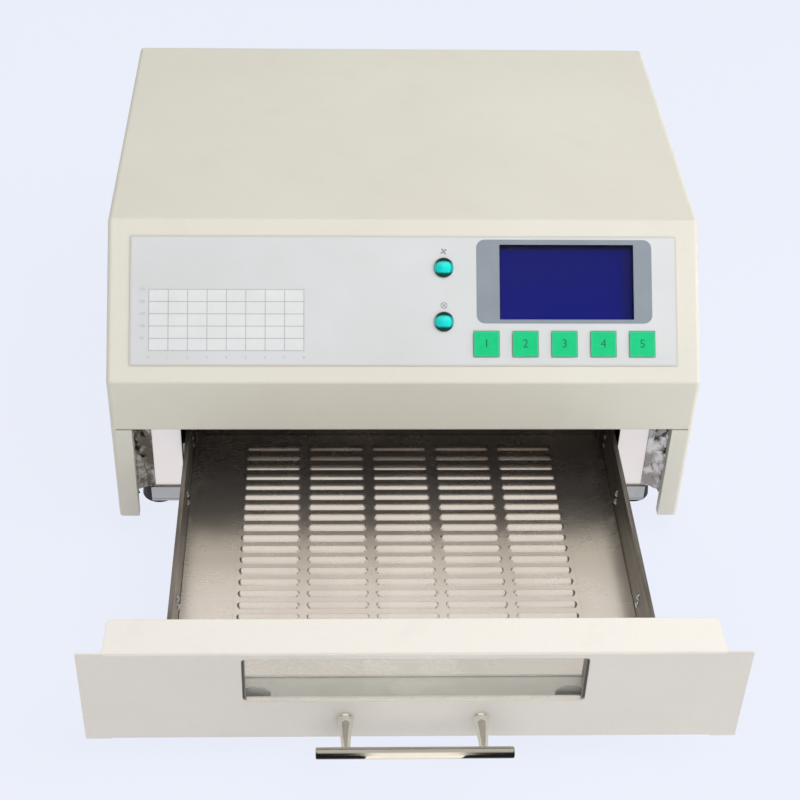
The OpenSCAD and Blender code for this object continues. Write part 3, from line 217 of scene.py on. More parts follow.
def paint(name, tone, shade, gloss=0.42, edge=0.7, folds=None):
    # stoved powder paint: a fine orange peel, a slow drift of tone and a little dust
    finish = Finish(name, Specular_IOR_Level=0.42)
    where = finish.place()
    drift = finish.noise(where, 9, 3, 0.55)
    speck = finish.noise(where, 1500, 2, 0.6)
    peel = finish.noise(where, 620, 2, 0.5)
    dust = finish.ease(finish.noise(where, 42, 5, 0.62), 0.52, 0.72)
    colour = finish.vary(drift, shade, tone)
    if folds:       # painted light: the drawer's folds are painted lighter than its face, as if more lit
        x, y, z = finish.millimetres()
        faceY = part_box("drawer_front")[0].y / mm
        foldLight = finish.ease(y, *(faceY + reach for reach in finishEdges["drawerFold"]))
        colour = finish.mix(foldLight, colour, folds)
    colour = finish.mix(finish.spread(speck, 0.35, 0.7, 0, 0.07), colour, screenColour(150, 146, 136))
    colour = finish.mix(dust * 0.05, colour, screenColour(186, 180, 168))
    return finish.feed(
        Base_Color=colour,
        Roughness=finish.vary(drift, gloss - 0.05, gloss + 0.04) + dust * 0.08,
        Normal=finish.relief(peel + speck * 0.25, 0.06, 0.5, edge))


def sheetMetal(name, tone, shade, low, high, grain=(1, 1, 1), scratch=0.3, smudge=0.3, edge=0.25,
               metallic=1.0):
    # rolled or brushed sheet: fine lines along its grain, with smudges that blur its shine
    finish = Finish(name, Metallic=metallic)
    where = finish.place()
    lines = finish.noise(finish.place(grain), 1400, 3, 0.6)
    cloud = finish.noise(where, 26, 4, 0.55, 0.6)
    mark = finish.ease(finish.noise(where, 70, 5, 0.7, 0.3), 0.55, 0.75)
    colour = finish.vary(cloud, shade, tone)
    colour = finish.mix(mark * smudge * 0.5, colour, screenColour(120, 112, 102))
    return finish.feed(
        Base_Color=colour,
        Roughness=finish.spread(cloud, 0.3, 0.75, low, high) + mark * smudge * 0.3 + lines * 0.06,
        Normal=finish.relief(lines, 0.02, scratch, edge))


def heatedMetal(name, tone, darkColour, rough, metallic):
    # oven sheet that has turned dark with heat, and is painted darker still as the shade inside the closed
    # oven
    finish = Finish(name, Metallic=metallic)
    cloud = finish.noise(finish.place(), 14, 5, 0.6, 0.8)
    streak = finish.noise(finish.place((1, 1, 0.15)), 60, 4, 0.6)
    lines = finish.noise(finish.place((0.08, 1, 1)), 1200, 3, 0.6)
    colour = finish.mix(finish.ease(cloud, 0.35, 0.68), tone, darkColour)
    colour = finish.mix(finish.ease(streak, 0.5, 0.8, 0, 0.35), colour, screenColour(44, 40, 36))
    return finish.feed(
        Base_Color=colour,
        Roughness=finish.vary(cloud, rough - 0.06, rough + 0.1),
        Normal=finish.relief(lines, 0.02, 0.4, 0.3))


def moulding(name, tone, shade, rough=0.45, grainScale=900, depth=0.03, edge=0.3):
    # moulded plastic or rubber with a spark-eroded grain
    finish = Finish(name, Specular_IOR_Level=0.45)
    where = finish.place()
    grain = finish.noise(where, grainScale, 2, 0.6)
    cloud = finish.noise(where, 60, 3, 0.6)
    return finish.feed(
        Base_Color=finish.vary(cloud, shade, tone),
        Roughness=finish.vary(grain, rough - 0.06, rough + 0.08),
        Normal=finish.relief(grain, depth, 0.6, edge))


def ink(name, tone, shade, rough=0.4):
    # a thin print, with no rounded edge
    return moulding(name, tone, shade, rough, 1600, 0.01, 0)


def filmFinish():
    # the overlay: pale polyester with a darker line round its edge and a faint cloud
    finish = Finish("overlayFilm", Specular_IOR_Level=0.4)
    x, v, z = finish.panelPlace()
    cloud = finish.noise(finish.place(), 22, 3, 0.5)
    grain = finish.noise(finish.place(), 1600, 2, 0.6)
    rim = finish.maths("MAXIMUM", *[finish.ease(abs(way), start, start + film["rimFade"])
                                    for way, start in zip((x, v), film["rim"])])
    colour = finish.vary(cloud, screenColour(213, 215, 215), screenColour(219, 220, 221))
    return finish.feed(
        Base_Color=finish.mix(rim, colour, screenColour(206, 205, 201)),
        Roughness=finish.vary(grain, 0.34, 0.42),
        Normal=finish.relief(grain, 0.01, 0.5, 0.2))


def keyFinish():
    # green print on clear film, greyer towards each key's edge
    finish = Finish("keyGreen", Specular_IOR_Level=0.35)
    x, v, z = finish.panelPlace()
    across = finish.fromNearest(x, keyRow["first"], keyRow["pitch"])
    edge = finish.maths("MAXIMUM", across, abs(v - keyRow["height"]))
    cloud = finish.noise(finish.place(), 240, 3, 0.5)
    green = finish.vary(cloud, screenColour(0, 198, 124), screenColour(4, 206, 132))
    edgeGrey = finish.ease(edge, *keyRow["edgeFade"], 0, 0.75)
    return finish.feed(
        Base_Color=finish.mix(edgeGrey, green, screenColour(96, 190, 158)),
        Roughness=finish.vary(cloud, 0.36, 0.44),
        Normal=finish.relief(cloud, 0.02, 0.5, 0.4))


def lensFinish():
    # a lamp's lens: painted light and shade, bright across its middle and dark green where it turns under
    # its ring
    finish = Finish("lensTeal", Specular_IOR_Level=0.5, Emission_Strength=0.25)
    x, v, z = finish.panelPlace()
    rise = finish.fromNearest(v, indicator["heights"][0], indicatorPitch)
    ripple = finish.noise(finish.place((1, 0.2, 1)), 900, 2, 0.5)
    paintedLensLight = finish.mix(finish.ease(rise, *indicator["lensFade"]), screenColour(20, 206, 200),
                      screenColour(2, 78, 66))
    return finish.feed(
        Base_Color=paintedLensLight, Emission_Color=paintedLensLight,
        Roughness=finish.vary(ripple, 0.08, 0.16),
        Normal=finish.relief(ripple, 0.03, 0.5))


def ringFinish():
    # a glossy collar: dark above and below its lens, with a painted reflection of the lens's colour at both
    # sides
    finish = Finish("lensRing", Specular_IOR_Level=0.5)
    x, v, z = finish.panelPlace()
    rise = finish.fromNearest(v, indicator["heights"][0], indicatorPitch)
    grain = finish.noise(finish.place(), 900, 2, 0.5)
    return finish.feed(
        Base_Color=finish.mix(finish.ease(rise, *indicator["ringFade"]), screenColour(74, 176, 170),
                              screenColour(2, 52, 46)),
        Roughness=finish.vary(grain, 0.14, 0.24),
        Normal=finish.relief(grain, 0.01, 0.4, 0.2))


def displayFinish():
    # a lit liquid crystal panel: deep blue, with the shade of its recess painted darker along its top and
    # sides
    finish = Finish("displayBlue", Base_Color=screenColour(4, 6, 26), Emission_Strength=0.85,
                    Specular_IOR_Level=0.3)
    x, v, z = finish.panelPlace()
    ends = finish.ease(abs(x - display["middle"][0]), *display["endShade"]) * 0.8
    shadow = finish.maths("MAXIMUM", finish.ease(v, *display["topShade"]), ends)
    shadow = finish.maths("MAXIMUM", shadow, finish.ease(x, *display["rightShade"]) * 0.6)
    cells = finish.noise(finish.place(), 500, 2, 0.5)
    blue = finish.mix(finish.spread(v, *display["fade"]), screenColour(0, 12, 124), screenColour(0, 8, 112))
    return finish.feed(
        Emission_Color=finish.mix(shadow, blue, screenColour(12, 12, 40)),
        Roughness=finish.vary(cells, 0.3, 0.4),
        Normal=finish.relief(cells, 0.01, 0.3))


def sealFinish():
    # silicone strip round the window: milky along the bottom, in shadow at both ends
    finish = Finish("windowSeal", Specular_IOR_Level=0.35)
    x, y, z = finish.millimetres()
    ends = finish.ease(abs(x), *finishEdges["sealEnd"])
    cloud = finish.noise(finish.place(), 300, 3, 0.6)
    colour = finish.vary(cloud, screenColour(220, 216, 207), screenColour(230, 226, 217))
    return finish.feed(
        Base_Color=finish.mix(ends * 0.9, colour, screenColour(52, 48, 46)),
        Roughness=finish.vary(cloud, 0.5, 0.62),
        Normal=finish.relief(cloud, 0.06, 0.6, 0.3))


def lampFinish():
    # satin quartz tube between two ceramic ends
    finish = Finish("quartzLamp", Specular_IOR_Level=0.6)
    x, y, z = finish.millimetres()
    ends = finish.ease(abs(x), *finishEdges["ceramicEnd"])
    cloud = finish.noise(finish.place((0.3, 1, 1)), 200, 4, 0.6)
    tube = finish.vary(cloud, screenColour(62, 60, 56), screenColour(76, 74, 70))
    shine = finish.vary(cloud, 0.12, 0.22)
    return finish.feed(
        Base_Color=finish.mix(ends, tube, screenColour(226, 220, 206)),
        Roughness=shine + ends * (0.7 - shine),
        Normal=finish.relief(cloud, 0.05, 0.4, 0.2))


def boardFinish():
    # a circuit board in green lacquer, with its tracks and pads
    finish = Finish("boardGreen", Specular_IOR_Level=0.5)
    where = finish.place()
    tracks = finish.node("ShaderNodeTexBrick", {"offset": 0.5}, {
        "Vector": where, "Scale": 240, "Mortar Size": 0.06, "Color1": screenColour(34, 92, 58),
        "Color2": screenColour(40, 104, 64), "Mortar": screenColour(86, 140, 92)})
    pads = finish.node("ShaderNodeTexVoronoi", {}, {"Vector": where, "Scale": 330})
    return finish.feed(
        Base_Color=finish.mix(finish.ease(pads, 0.1, 0.16, 0.8, 0), tracks, screenColour(206, 204, 190)),
        Roughness=finish.ease(pads, 0.1, 0.2, 0.25, 0.42),
        Normal=finish.relief(pads, 0.1, 0.3, 0.2))


def trayFinish():
    # the tray's folded steel: bright inside, brown along its rims and walls, and painted dark at its rear as
    # the shade deep in the oven
    finish = Finish("trayWalls")
    x, y, z = finish.millimetres()
    streak = finish.noise(finish.place((1, 0.05, 1)), 500, 4, 0.6)
    cloud = finish.noise(finish.place(), 40, 4, 0.6, 0.5)
    rim = finish.maths("MAXIMUM", finish.ease(abs(x), *finishEdges["trayWall"]),
                       finish.ease(z, *finishEdges["trayRim"]))
    steel = finish.vary(cloud, screenColour(206, 198, 190), screenColour(226, 218, 210))
    dull = finish.mix(finish.ease(streak, 0.3, 0.7), screenColour(92, 87, 80), screenColour(130, 124, 116))
    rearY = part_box("tray_frame")[1].y / mm
    # painted shade: the rear of the tray, deep inside the oven, is darkened
    rearShade = finish.ease(y, *(rearY - reach for reach in finishEdges["trayRear"])) * (1 - rim * 0.6)
    darkColour = finish.mix(finish.ease(cloud, 0.42, 0.66), screenColour(44, 40, 34), screenColour(78, 71, 62))
    return finish.feed(
        Base_Color=finish.mix(rearShade * 0.92, finish.mix(rim, steel, dull), darkColour),
        Metallic=finish.spread(rim, 0, 1, 0.9, 0.55),
        Roughness=finish.vary(cloud, 0.2, 0.3) + rim * 0.12,
        Normal=finish.relief(streak, 0.03, 0.3, 0.25))


def paneFinish(name, tint, haze, cover, rough):
    # clear pane: thin, slightly tinted, with a smear or two
    finish = Finish(name, Specular_IOR_Level=1.0)
    smear = finish.noise(finish.place(), 34, 4, 0.6, 0.4)
    return finish.feed(
        Base_Color=finish.mix(finish.spread(smear, 0.4, 0.7, 0, 0.6), tint, haze),
        Alpha=finish.ease(smear, 0.4, 0.75, cover, cover * 2),
        Roughness=finish.spread(smear, 0.35, 0.75, rough, rough + 0.06))


finishes = {
    "cream_paint": paint("creamPaint", screenColour(231, 228, 215), screenColour(226, 222, 209)),
    "light_paint": paint("drawerPaint", screenColour(231, 225, 216), screenColour(224, 219, 211), edge=0.35,
                         folds=screenColour(250, 245, 236)),
    "white_paint": paint("whitePaint", screenColour(252, 249, 246), screenColour(248, 244, 240),
                         gloss=0.36),
    "stainless": sheetMetal("traySteel", screenColour(234, 226, 218), screenColour(222, 213, 205),
                            0.2, 0.28, grain=(0.06, 1, 1), scratch=0.1, smudge=0.1, metallic=0.93),
    "zinc_steel": sheetMetal("zincSteel", screenColour(196, 194, 190), screenColour(172, 170, 166),
                             0.3, 0.46, scratch=0.4, smudge=0.5),
    "chrome": sheetMetal("chromePlate", screenColour(186, 182, 172), screenColour(178, 174, 165),
                         0.01, 0.03, scratch=0.01, smudge=0.03, edge=0),
    "aluminium": sheetMetal("brightAluminium", screenColour(222, 223, 225), screenColour(205, 206, 209),
                            0.2, 0.34, grain=(0.1, 1, 1), scratch=0.4),
    "brass": sheetMetal("brass", screenColour(212, 178, 104), screenColour(188, 150, 82),
                        0.22, 0.34),
    "black_rubber": moulding("footRubber", screenColour(34, 34, 36), screenColour(26, 26, 27),
                             0.62, 500, 0.08),
    "seal": sealFinish(),
    "black_plastic": moulding("blackPlastic", screenColour(38, 38, 40), screenColour(28, 28, 30), 0.42),
    "fibre": moulding("mineralWool", screenColour(238, 234, 224), screenColour(220, 214, 200),
                      0.85, 300, 0.6),
    "overlay": filmFinish(),
    "key_green": keyFinish(),
    "lens_teal": lensFinish(),
    "display_blue": displayFinish(),
    "board_green": boardFinish(),
    "transformer_core": moulding("laminatedCore", screenColour(74, 74, 78), screenColour(58, 58, 62),
                                 0.5, 500, 0.05),
    "clear_window": paneFinish("displayWindow", screenColour(10, 14, 50), screenColour(30, 36, 80),
                               0.025, 0.06),
    "window_glass": paneFinish("ovenGlass", screenColour(170, 180, 172), screenColour(232, 228, 220),
                               0.12, 0.02),
    "quartz": lampFinish(),
}
special = {
    # the liner and the lamp reflector: dark with heat, and darker still as painted shade of the oven's
    # inside
    "oven_liner": heatedMetal("ovenLiner", screenColour(40, 38, 34), screenColour(29, 26, 22), 0.4, 0.6),
    "lamp_reflector": heatedMetal("lampReflector", screenColour(50, 47, 42), screenColour(36, 32, 28),
                                  0.34, 0.85),
    # painted light: the inner panel's steel is paler and less metallic, to stand in for light it gets little
    # of
    "inner_panel": sheetMetal("innerPanel", screenColour(244, 240, 232), screenColour(232, 227, 219),
                              0.4, 0.5, grain=(0.1, 1, 1), smudge=0.2, metallic=0.35),
    "front_baffle": sheetMetal("baffleSheet", screenColour(255, 247, 238), screenColour(255, 242, 231),
                               0.26, 0.34, grain=(1, 1, 0.1), scratch=0.08, smudge=0.05, edge=0.4,
                               metallic=0.92),
    "tray_frame": trayFinish(),
    "glass_clips": sheetMetal("glassClips", screenColour(222, 218, 211), screenColour(206, 201, 194),
                              0.45, 0.55, scratch=0.2, smudge=0.2, edge=0.3, metallic=0.35),
    "runner_left": sheetMetal("runnerSteel", screenColour(142, 136, 128), screenColour(120, 114, 107),
                              0.34, 0.46, grain=(1, 0.1, 1)),
    "indicator_rings": ringFinish(),
}
special["runner_right"] = special["runner_left"]

for row in frame["record"]["subparts"]:
    slots = nodes[row["node"]].data.materials
    slots.clear()
    slots.append(special.get(row["node"], finishes[row["material_slot"]]).material)
print("finishes set on the frame's own pieces")


def setDown(name, shape, space=Matrix()):
    # a drawn shape becomes an object, with its place in its mesh
    bmesh.ops.transform(shape, matrix=space, verts=shape.verts)
    mesh = bpy.data.meshes.new(name)
    shape.to_mesh(mesh)
    shape.free()
    made = bpy.data.objects.new(name, mesh)
    bpy.context.scene.collection.objects.link(made)
    return made


def once(things):
    # each thing once, always in the same order
    return list(dict.fromkeys(things))


def shapedMesh(piece):
    return bpy.data.meshes.new_from_object(piece.evaluated_get(bpy.context.evaluated_depsgraph_get()))


def finishPiece(name, shape, space, body, slot, replaces=(), modifiers=(), cutter=None, sharp=32,
                finish=None, own=()):
    # sets a drawn shape down as a piece of the oven, after the cutter has taken its share away
    piece = setDown(name, shape, space)
    if cutter:
        cutter = setDown("cutter", cutter, space)
        modifiers = [("BOOLEAN", {"object": cutter, "operation": "DIFFERENCE", "solver": "EXACT",
                                  "use_self": True})]
    for kind, settings in modifiers:
        modifier = piece.modifiers.new(kind, kind)
        for key, value in settings.items():
            setattr(modifier, key, value)
    if modifiers:
        shaped = shapedMesh(piece)
        piece.modifiers.clear()
        piece.data = shaped
    if cutter:
        bpy.data.objects.remove(cutter)
    for made in own or [finish or finishes[slot]]:
        piece.data.materials.append(made.material)
    piece.data.shade_smooth()
    piece.data.set_sharp_from_angle(angle=math.radians(sharp))
    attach(piece, body)
    if replaces:
        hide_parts(*replaces)


def addBar(shape, low, high, material=0):
    low, high = Vector(low), Vector(high)
    made = bmesh.ops.create_cube(shape, size=1, matrix=Matrix.Translation((low + high) / 2)
                                 @ Matrix.Diagonal((*(high - low), 1)))
    for face in once(f for v in made["verts"] for f in v.link_faces):
        face.material_index = material
    return made["verts"]


def addPlate(shape, x, v, w, h, r, low, high, steps=6):
    # a thin plate with round corners
    verts = addBar(shape, (x - w / 2, v - h / 2, low), (x + w / 2, v + h / 2, high))
    upright = [e for e in once(e for vert in verts for e in vert.link_edges)
               if abs(e.verts[0].co.z - e.verts[1].co.z) > (high - low) / 2]
    bmesh.ops.bevel(shape, geom=upright, offset=r, offset_type="OFFSET", segments=steps, profile=0.5,
                    affect="EDGES", material=-1)


def spinProfile(shape, points, steps, place):
    # turns a profile (radius, height) round its axis
    verts = [shape.verts.new((r, 0, z)) for r, z in points]
    edges = [shape.edges.new(pair) for pair in zip(verts, verts[1:])]
    before = set(shape.faces)
    bmesh.ops.spin(shape, geom=verts + edges, cent=(0, 0, 0), axis=(0, 0, 1), dvec=(0, 0, 0),
                   angle=math.tau, steps=steps, use_merge=True, use_duplicate=False)
    made = once(v for f in shape.faces if f not in before for v in f.verts)
    bmesh.ops.remove_doubles(shape, verts=made, dist=0.0005)
    faces = [f for f in shape.faces if f not in before]
    bmesh.ops.recalc_face_normals(shape, faces=faces)
    bmesh.ops.transform(shape, matrix=place, verts=once(v for f in faces for v in f.verts))


# the louvred plate: one cell is drawn once and repeated
louvre = {"columns": 5, "rows": 18, "across": 35.0, "along": 8.15, "length": 31.5, "depth": 3.8,
          "height": 1.45, "endReach": 0.55, "steps": 5, "sheet": 0.7, "back": 14.0, "solidHeight": 1.9}


def louvreCell():
    # a hood with round ends, open at its rear, over a slot in its cell of the plate
    across, along, steps = louvre["across"], louvre["along"], louvre["steps"]
    width, height = louvre["depth"], louvre["height"]
    radius = (width ** 2 + height ** 2) / (2 * height)
    reach = math.asin(width / radius)
    half = louvre["length"] / 2 - width * louvre["endReach"]
    cell = bmesh.new()
    arc = [cell.verts.new((-half - radius * math.sin(reach * k / steps), 0,
                           height - radius + radius * math.cos(reach * k / steps)))
           for k in range(steps + 1)]
    line = [cell.edges.new(pair) for pair in zip(arc, arc[1:])]
    quarter = {"axis": (0, 0, -1), "dvec": (0, 0, 0), "angle": math.pi / 2, "steps": steps,
               "use_duplicate": False}
    turned = bmesh.ops.spin(cell, geom=arc + line, cent=(-half, 0, 0), **quarter)["geom_last"]
    moved = bmesh.ops.extrude_edge_only(cell, edges=[e for e in turned if isinstance(e, bmesh.types.BMEdge)])
    last = [v for v in moved["geom"] if isinstance(v, bmesh.types.BMVert)]
    bmesh.ops.translate(cell, vec=(2 * half, 0, 0), verts=last)
    lastEdges = [e for e in moved["geom"] if isinstance(e, bmesh.types.BMEdge)
                 and all(v in last for v in e.verts)]
    bmesh.ops.spin(cell, geom=last + lastEdges, cent=(half, 0, 0), **quarter)
    bmesh.ops.remove_doubles(cell, verts=cell.verts, dist=0.001)
    for vert in cell.verts:      # its ends fall more steeply than its back
        if abs(vert.co.x) > half:
            vert.co.x = math.copysign(half + (abs(vert.co.x) - half) * louvre["endReach"], vert.co.x)
    foot = [e for e in cell.edges if e.is_boundary and all(abs(v.co.z) < 0.01 for v in e.verts)]
    foot.append(cell.edges.new([v for v in cell.verts if abs(v.co.z) < 0.01 and abs(v.co.y) < 0.01]))
    bmesh.ops.rotate(cell, verts=cell.verts, cent=(0, width / 2, 0),
                     matrix=Matrix.Rotation(math.pi, 3, "Z"))
    rim = [cell.verts.new((x, y, 0)) for x, y in
           [(-across / 2, -(along - width) / 2), (across / 2, -(along - width) / 2),
            (across / 2, (along + width) / 2), (-across / 2, (along + width) / 2)]]
    rimEdges = [cell.edges.new(pair) for pair in zip(rim, rim[1:] + rim[:1])]
    bmesh.ops.triangle_fill(cell, use_beauty=True, edges=foot + rimEdges, normal=(0, 0, 1))
    mesh = bpy.data.meshes.new("louvreCell")
    cell.to_mesh(mesh)
    cell.free()
    return mesh


def louvredPlate():
    low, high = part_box("louvred_plate")
    plateX, plateZ = high.x / mm, high.z / mm - louvre["solidHeight"]
    y0, y1 = (low.y - drawerY) / mm, (high.y - drawerY) / mm
    columns, rows, across, along = louvre["columns"], louvre["rows"], louvre["across"], louvre["along"]
    firstY = y1 - louvre["back"]
    cell = louvreCell()
    plate = bmesh.new()
    for i in range(columns):
        for j in range(rows):
            count = len(plate.verts)
            plate.from_mesh(cell)
            plate.verts.ensure_lookup_table()
            bmesh.ops.translate(plate, verts=plate.verts[count:], vec=(
                (i - (columns - 1) / 2) * across, firstY - j * along, plateZ))
    fieldX = columns * across / 2
    fieldY1 = firstY + (along + louvre["depth"]) / 2
    fieldY0 = fieldY1 - rows * along
    for x0, x1, ya, yb in [(-plateX, -fieldX, y0, y1), (fieldX, plateX, y0, y1),
                           (-fieldX, fieldX, y0, fieldY0), (-fieldX, fieldX, fieldY1, y1)]:
        corners = [plate.verts.new((x, y, plateZ)) for x, y in [(x0, ya), (x1, ya), (x1, yb), (x0, yb)]]
        plate.faces.new(corners)
    bmesh.ops.remove_doubles(plate, verts=plate.verts, dist=0.002)
    for face in plate.faces:
        if face.normal.z < 0:
            face.normal_flip()
    finishPiece("louvredPlate", plate, inDrawer, "drawer", "stainless", ["louvred_plate"],
                [("SOLIDIFY", {"thickness": louvre["sheet"] * mm, "offset": -1})], sharp=28)


louvredPlate()
print("louvred plate made")


# what is printed on the film: a chart, its figures, the display's surround and the signs by the indicators
chart = {"grid": (-133.0, -52.5, -26.3, 5.8), "corner": 0.4, "columns": 8, "rows": 5, "line": 0.42,
         "figure": 2.2, "figureGap": 3.6, "rowStep": 50}
sign = {"blades": 4, "blade": (0.78, 0.46), "bladePlace": (1.05, 0.3), "bladeTurn": 0.5, "fanTurn": 0.3,
        "hub": 0.42, "lamp": (1.75, 1.42), "cross": (1.5, 0.16)}


def figures(shape, text, size, x, v, z, material=0, depth=0.04):
    words = bpy.data.curves.new("figures", "FONT")
    words.body, words.size, words.extrude = text, size, depth / 2
    words.align_x, words.align_y = "CENTER", "CENTER"
    holder = bpy.data.objects.new("figures", words)
    bpy.context.scene.collection.objects.link(holder)
    bpy.context.view_layer.update()
    flat = shapedMesh(holder)
    bpy.data.objects.remove(holder)
    count, faceCount = len(shape.verts), len(shape.faces)
    shape.from_mesh(flat)
    shape.verts.ensure_lookup_table()
    shape.faces.ensure_lookup_table()
    for face in shape.faces[faceCount:]:
        face.material_index = material
    bmesh.ops.translate(shape, verts=shape.verts[count:], vec=(x, v, z + depth / 2))


def printChart():
    shape = bmesh.new()
    filmTop, groundTop, inkTop = (film["top"] + film["ink"] * share for share in (0, 0.5, 1))
    x0, x1, v0, v1 = chart["grid"]
    addPlate(shape, (x0 + x1) / 2, (v0 + v1) / 2, x1 - x0, v1 - v0, chart["corner"], filmTop, groundTop,
             steps=3)
    half = chart["line"] / 2
    for i in range(chart["columns"] + 1):
        x = x0 + (x1 - x0) * i / chart["columns"]
        addBar(shape, (x - half, v0 - half, filmTop), (x + half, v1 + half, inkTop), 1)
        figures(shape, str(i), chart["figure"], x, v0 - chart["figureGap"], groundTop, 1)
    for j in range(chart["rows"] + 1):
        v = v0 + (v1 - v0) * j / chart["rows"]
        addBar(shape, (x0 - half, v - half, filmTop), (x1 + half, v + half, inkTop), 1)
        if j:
            figures(shape, str(j * chart["rowStep"]), chart["figure"], x0 - chart["figureGap"], v,
                    groundTop, 1)
    finishPiece("printedChart", shape, onPanel, "casing", "overlay", own=[
        ink("chartGround", screenColour(228, 231, 229), screenColour(223, 226, 225), 0.3),
        ink("chartInk", screenColour(188, 190, 196), screenColour(180, 182, 189))])


def printSurround():
    surround, hole = bmesh.new(), bmesh.new()
    addPlate(surround, *film["surround"], film["top"], film["top"] + film["ink"])
    (x, v), (w, h) = display["middle"], display["size"]
    addBar(hole, (x - w / 2, v - h / 2, -5), (x + w / 2, v + h / 2, 5))
    finishPiece("displaySurround", surround, onPanel, "casing", "overlay", cutter=hole,
                finish=ink("surroundInk", screenColour(144, 153, 162), screenColour(137, 146, 155),
                           0.34))


def fanSign(shape, middle):
    blade = (Matrix.Translation((*sign["bladePlace"], 0)) @ Matrix.Rotation(sign["bladeTurn"], 4, "Z")
             @ Matrix.Diagonal((*sign["blade"], 1, 1)))
    for k in range(sign["blades"]):
        turn = middle @ Matrix.Rotation(k * math.tau / sign["blades"] + sign["fanTurn"], 4, "Z")
        bmesh.ops.create_circle(shape, cap_ends=True, radius=1, segments=14, matrix=turn @ blade)
    bmesh.ops.create_circle(shape, cap_ends=True, radius=sign["hub"], segments=12, matrix=middle)


def lampSign(shape, middle):
    rings = []
    for radius in sign["lamp"]:
        ring = bmesh.ops.create_circle(shape, radius=radius, segments=24, matrix=middle)
        rings += once(e for vert in ring["verts"] for e in vert.link_edges)
    bmesh.ops.bridge_loops(shape, edges=rings)
    halfL, halfW = sign["cross"]
    for turn in (math.pi / 4, -math.pi / 4):
        bar = addBar(shape, (-halfL, -halfW, 0), (halfL, halfW, film["ink"] / 2))
        bmesh.ops.transform(shape, matrix=middle @ Matrix.Rotation(turn, 4, "Z"), verts=bar)


def printSigns():
    signs = bmesh.new()
    inkTop = film["top"] + film["ink"]
    for draw, height in zip((fanSign, lampSign), indicator["heights"]):
        draw(signs, Matrix.Translation((indicator["x"], height + indicator["signRise"], inkTop)))
    bmesh.ops.recalc_face_normals(signs, faces=signs.faces)
    for face in signs.faces:
        if face.normal.z < -0.5 and face.calc_center_median().z >= inkTop - 0.001:
            face.normal_flip()
    finishPiece("indicatorSigns", signs, onPanel, "casing", "overlay",
                finish=ink("signInk", screenColour(150, 151, 156), screenColour(142, 143, 149)))


def printKeyNumbers():
    keyInk = ink("keyInk", screenColour(0, 122, 80), screenColour(0, 112, 74))
    offPanel = onPanel.inverted()
    for k in range(keyRow["keys"]):
        key = "key_%d" % (k + 1)
        keyTop = max((offPanel @ v.co).z for v in nodes[key].data.vertices)
        number = bmesh.new()
        figures(number, str(k + 1), keyRow["figure"], keyRow["first"] + k * keyRow["pitch"],
                keyRow["height"], keyTop - keyRow["sunk"], depth=keyRow["ink"])
        finishPiece("keyNumber%d" % (k + 1), number, onPanel, key, "key_green", finish=keyInk)


printChart()
printSurround()
printSigns()
printKeyNumbers()
print("film printed")


# the drawer's front plate: the frame's own sheet with its two long bends pressed sharper
frontPlate = {"drawnBend": 2.2, "sharpBend": 0.8, "slack": 0.06}


def drawerFront():
    shape = bmesh.new()
    shape.from_mesh(nodes["drawer_front"].data)
    bmesh.ops.remove_doubles(shape, verts=shape.verts, dist=0.00001)
    low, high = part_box("drawer_front")
    wide, tight = frontPlate["drawnBend"], frontPlate["sharpBend"]
    moved = 0
    for vert in shape.verts:
        back = (vert.co.y - low.y) / mm
        upper = high.z - vert.co.z < vert.co.z - low.z
        inward = (high.z - vert.co.z if upper else vert.co.z - low.z) / mm
        offBend = abs(math.hypot(wide - back, wide - inward) - wide)
        if max(back, inward) > wide - 0.01 or offBend > frontPlate["slack"]:
            continue
        turn = math.atan2(wide - inward, wide - back)
        inward = tight * (1 - math.sin(turn)) * mm
        vert.co.y = low.y + tight * (1 - math.cos(turn)) * mm
        vert.co.z = high.z - inward if upper else low.z + inward
        moved += 1
    finishPiece("drawerFront", shape, Matrix(), "drawer", "light_paint", ["drawer_front"], sharp=15)
    return moved


print("front plate's bends sharpened at", drawerFront(), "points")


# the drawer's inner panel: a framed sheet with two side returns and a flange forward under the glass
innerPanel = {"sheet": 1.0, "halfOpening": 82, "foot": 37.3, "lintel": 3, "return": 9, "returnFoot": 38,
              "returnTop": 59, "flangeFrom": 4.5, "flangeZ": 36.6, "flangeInset": 5, "lip": 1.3,
              "overlap": 0.1}


def drawerInnerPanel():
    low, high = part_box("inner_panel")
    x1, y1, z0, z1 = high.x / mm, (high.y - drawerY) / mm, low.z / mm, high.z / mm
    part = innerPanel
    sheet, overlap = part["sheet"], part["overlap"]
    y0, halfOpening = y1 - sheet, part["halfOpening"]
    opening, shape = bmesh.new(), bmesh.new()
    addBar(opening, (-halfOpening, y0 - 3, part["foot"]), (halfOpening, y1 + 3, z1 - part["lintel"]))
    addBar(shape, (-x1, y0, z0), (x1, y1, z1))
    for side in (-1, 1):
        a, b = sorted((side * (x1 - sheet), side * x1))
        addBar(shape, (a, y1 - part["return"], part["returnFoot"]), (b, y0 + overlap, part["returnTop"]))
    reach, lipY, top = x1 - part["flangeInset"], part["flangeFrom"], part["flangeZ"]
    addBar(shape, (-reach, lipY, top - sheet), (reach, y0 + overlap, top))
    addBar(shape, (-reach, lipY, top - overlap), (reach, lipY + sheet, top + part["lip"]))
    finishPiece("innerPanel", shape, inDrawer, "drawer", "stainless", ["inner_panel"], cutter=opening,
                sharp=30, finish=special["inner_panel"])


drawerInnerPanel()

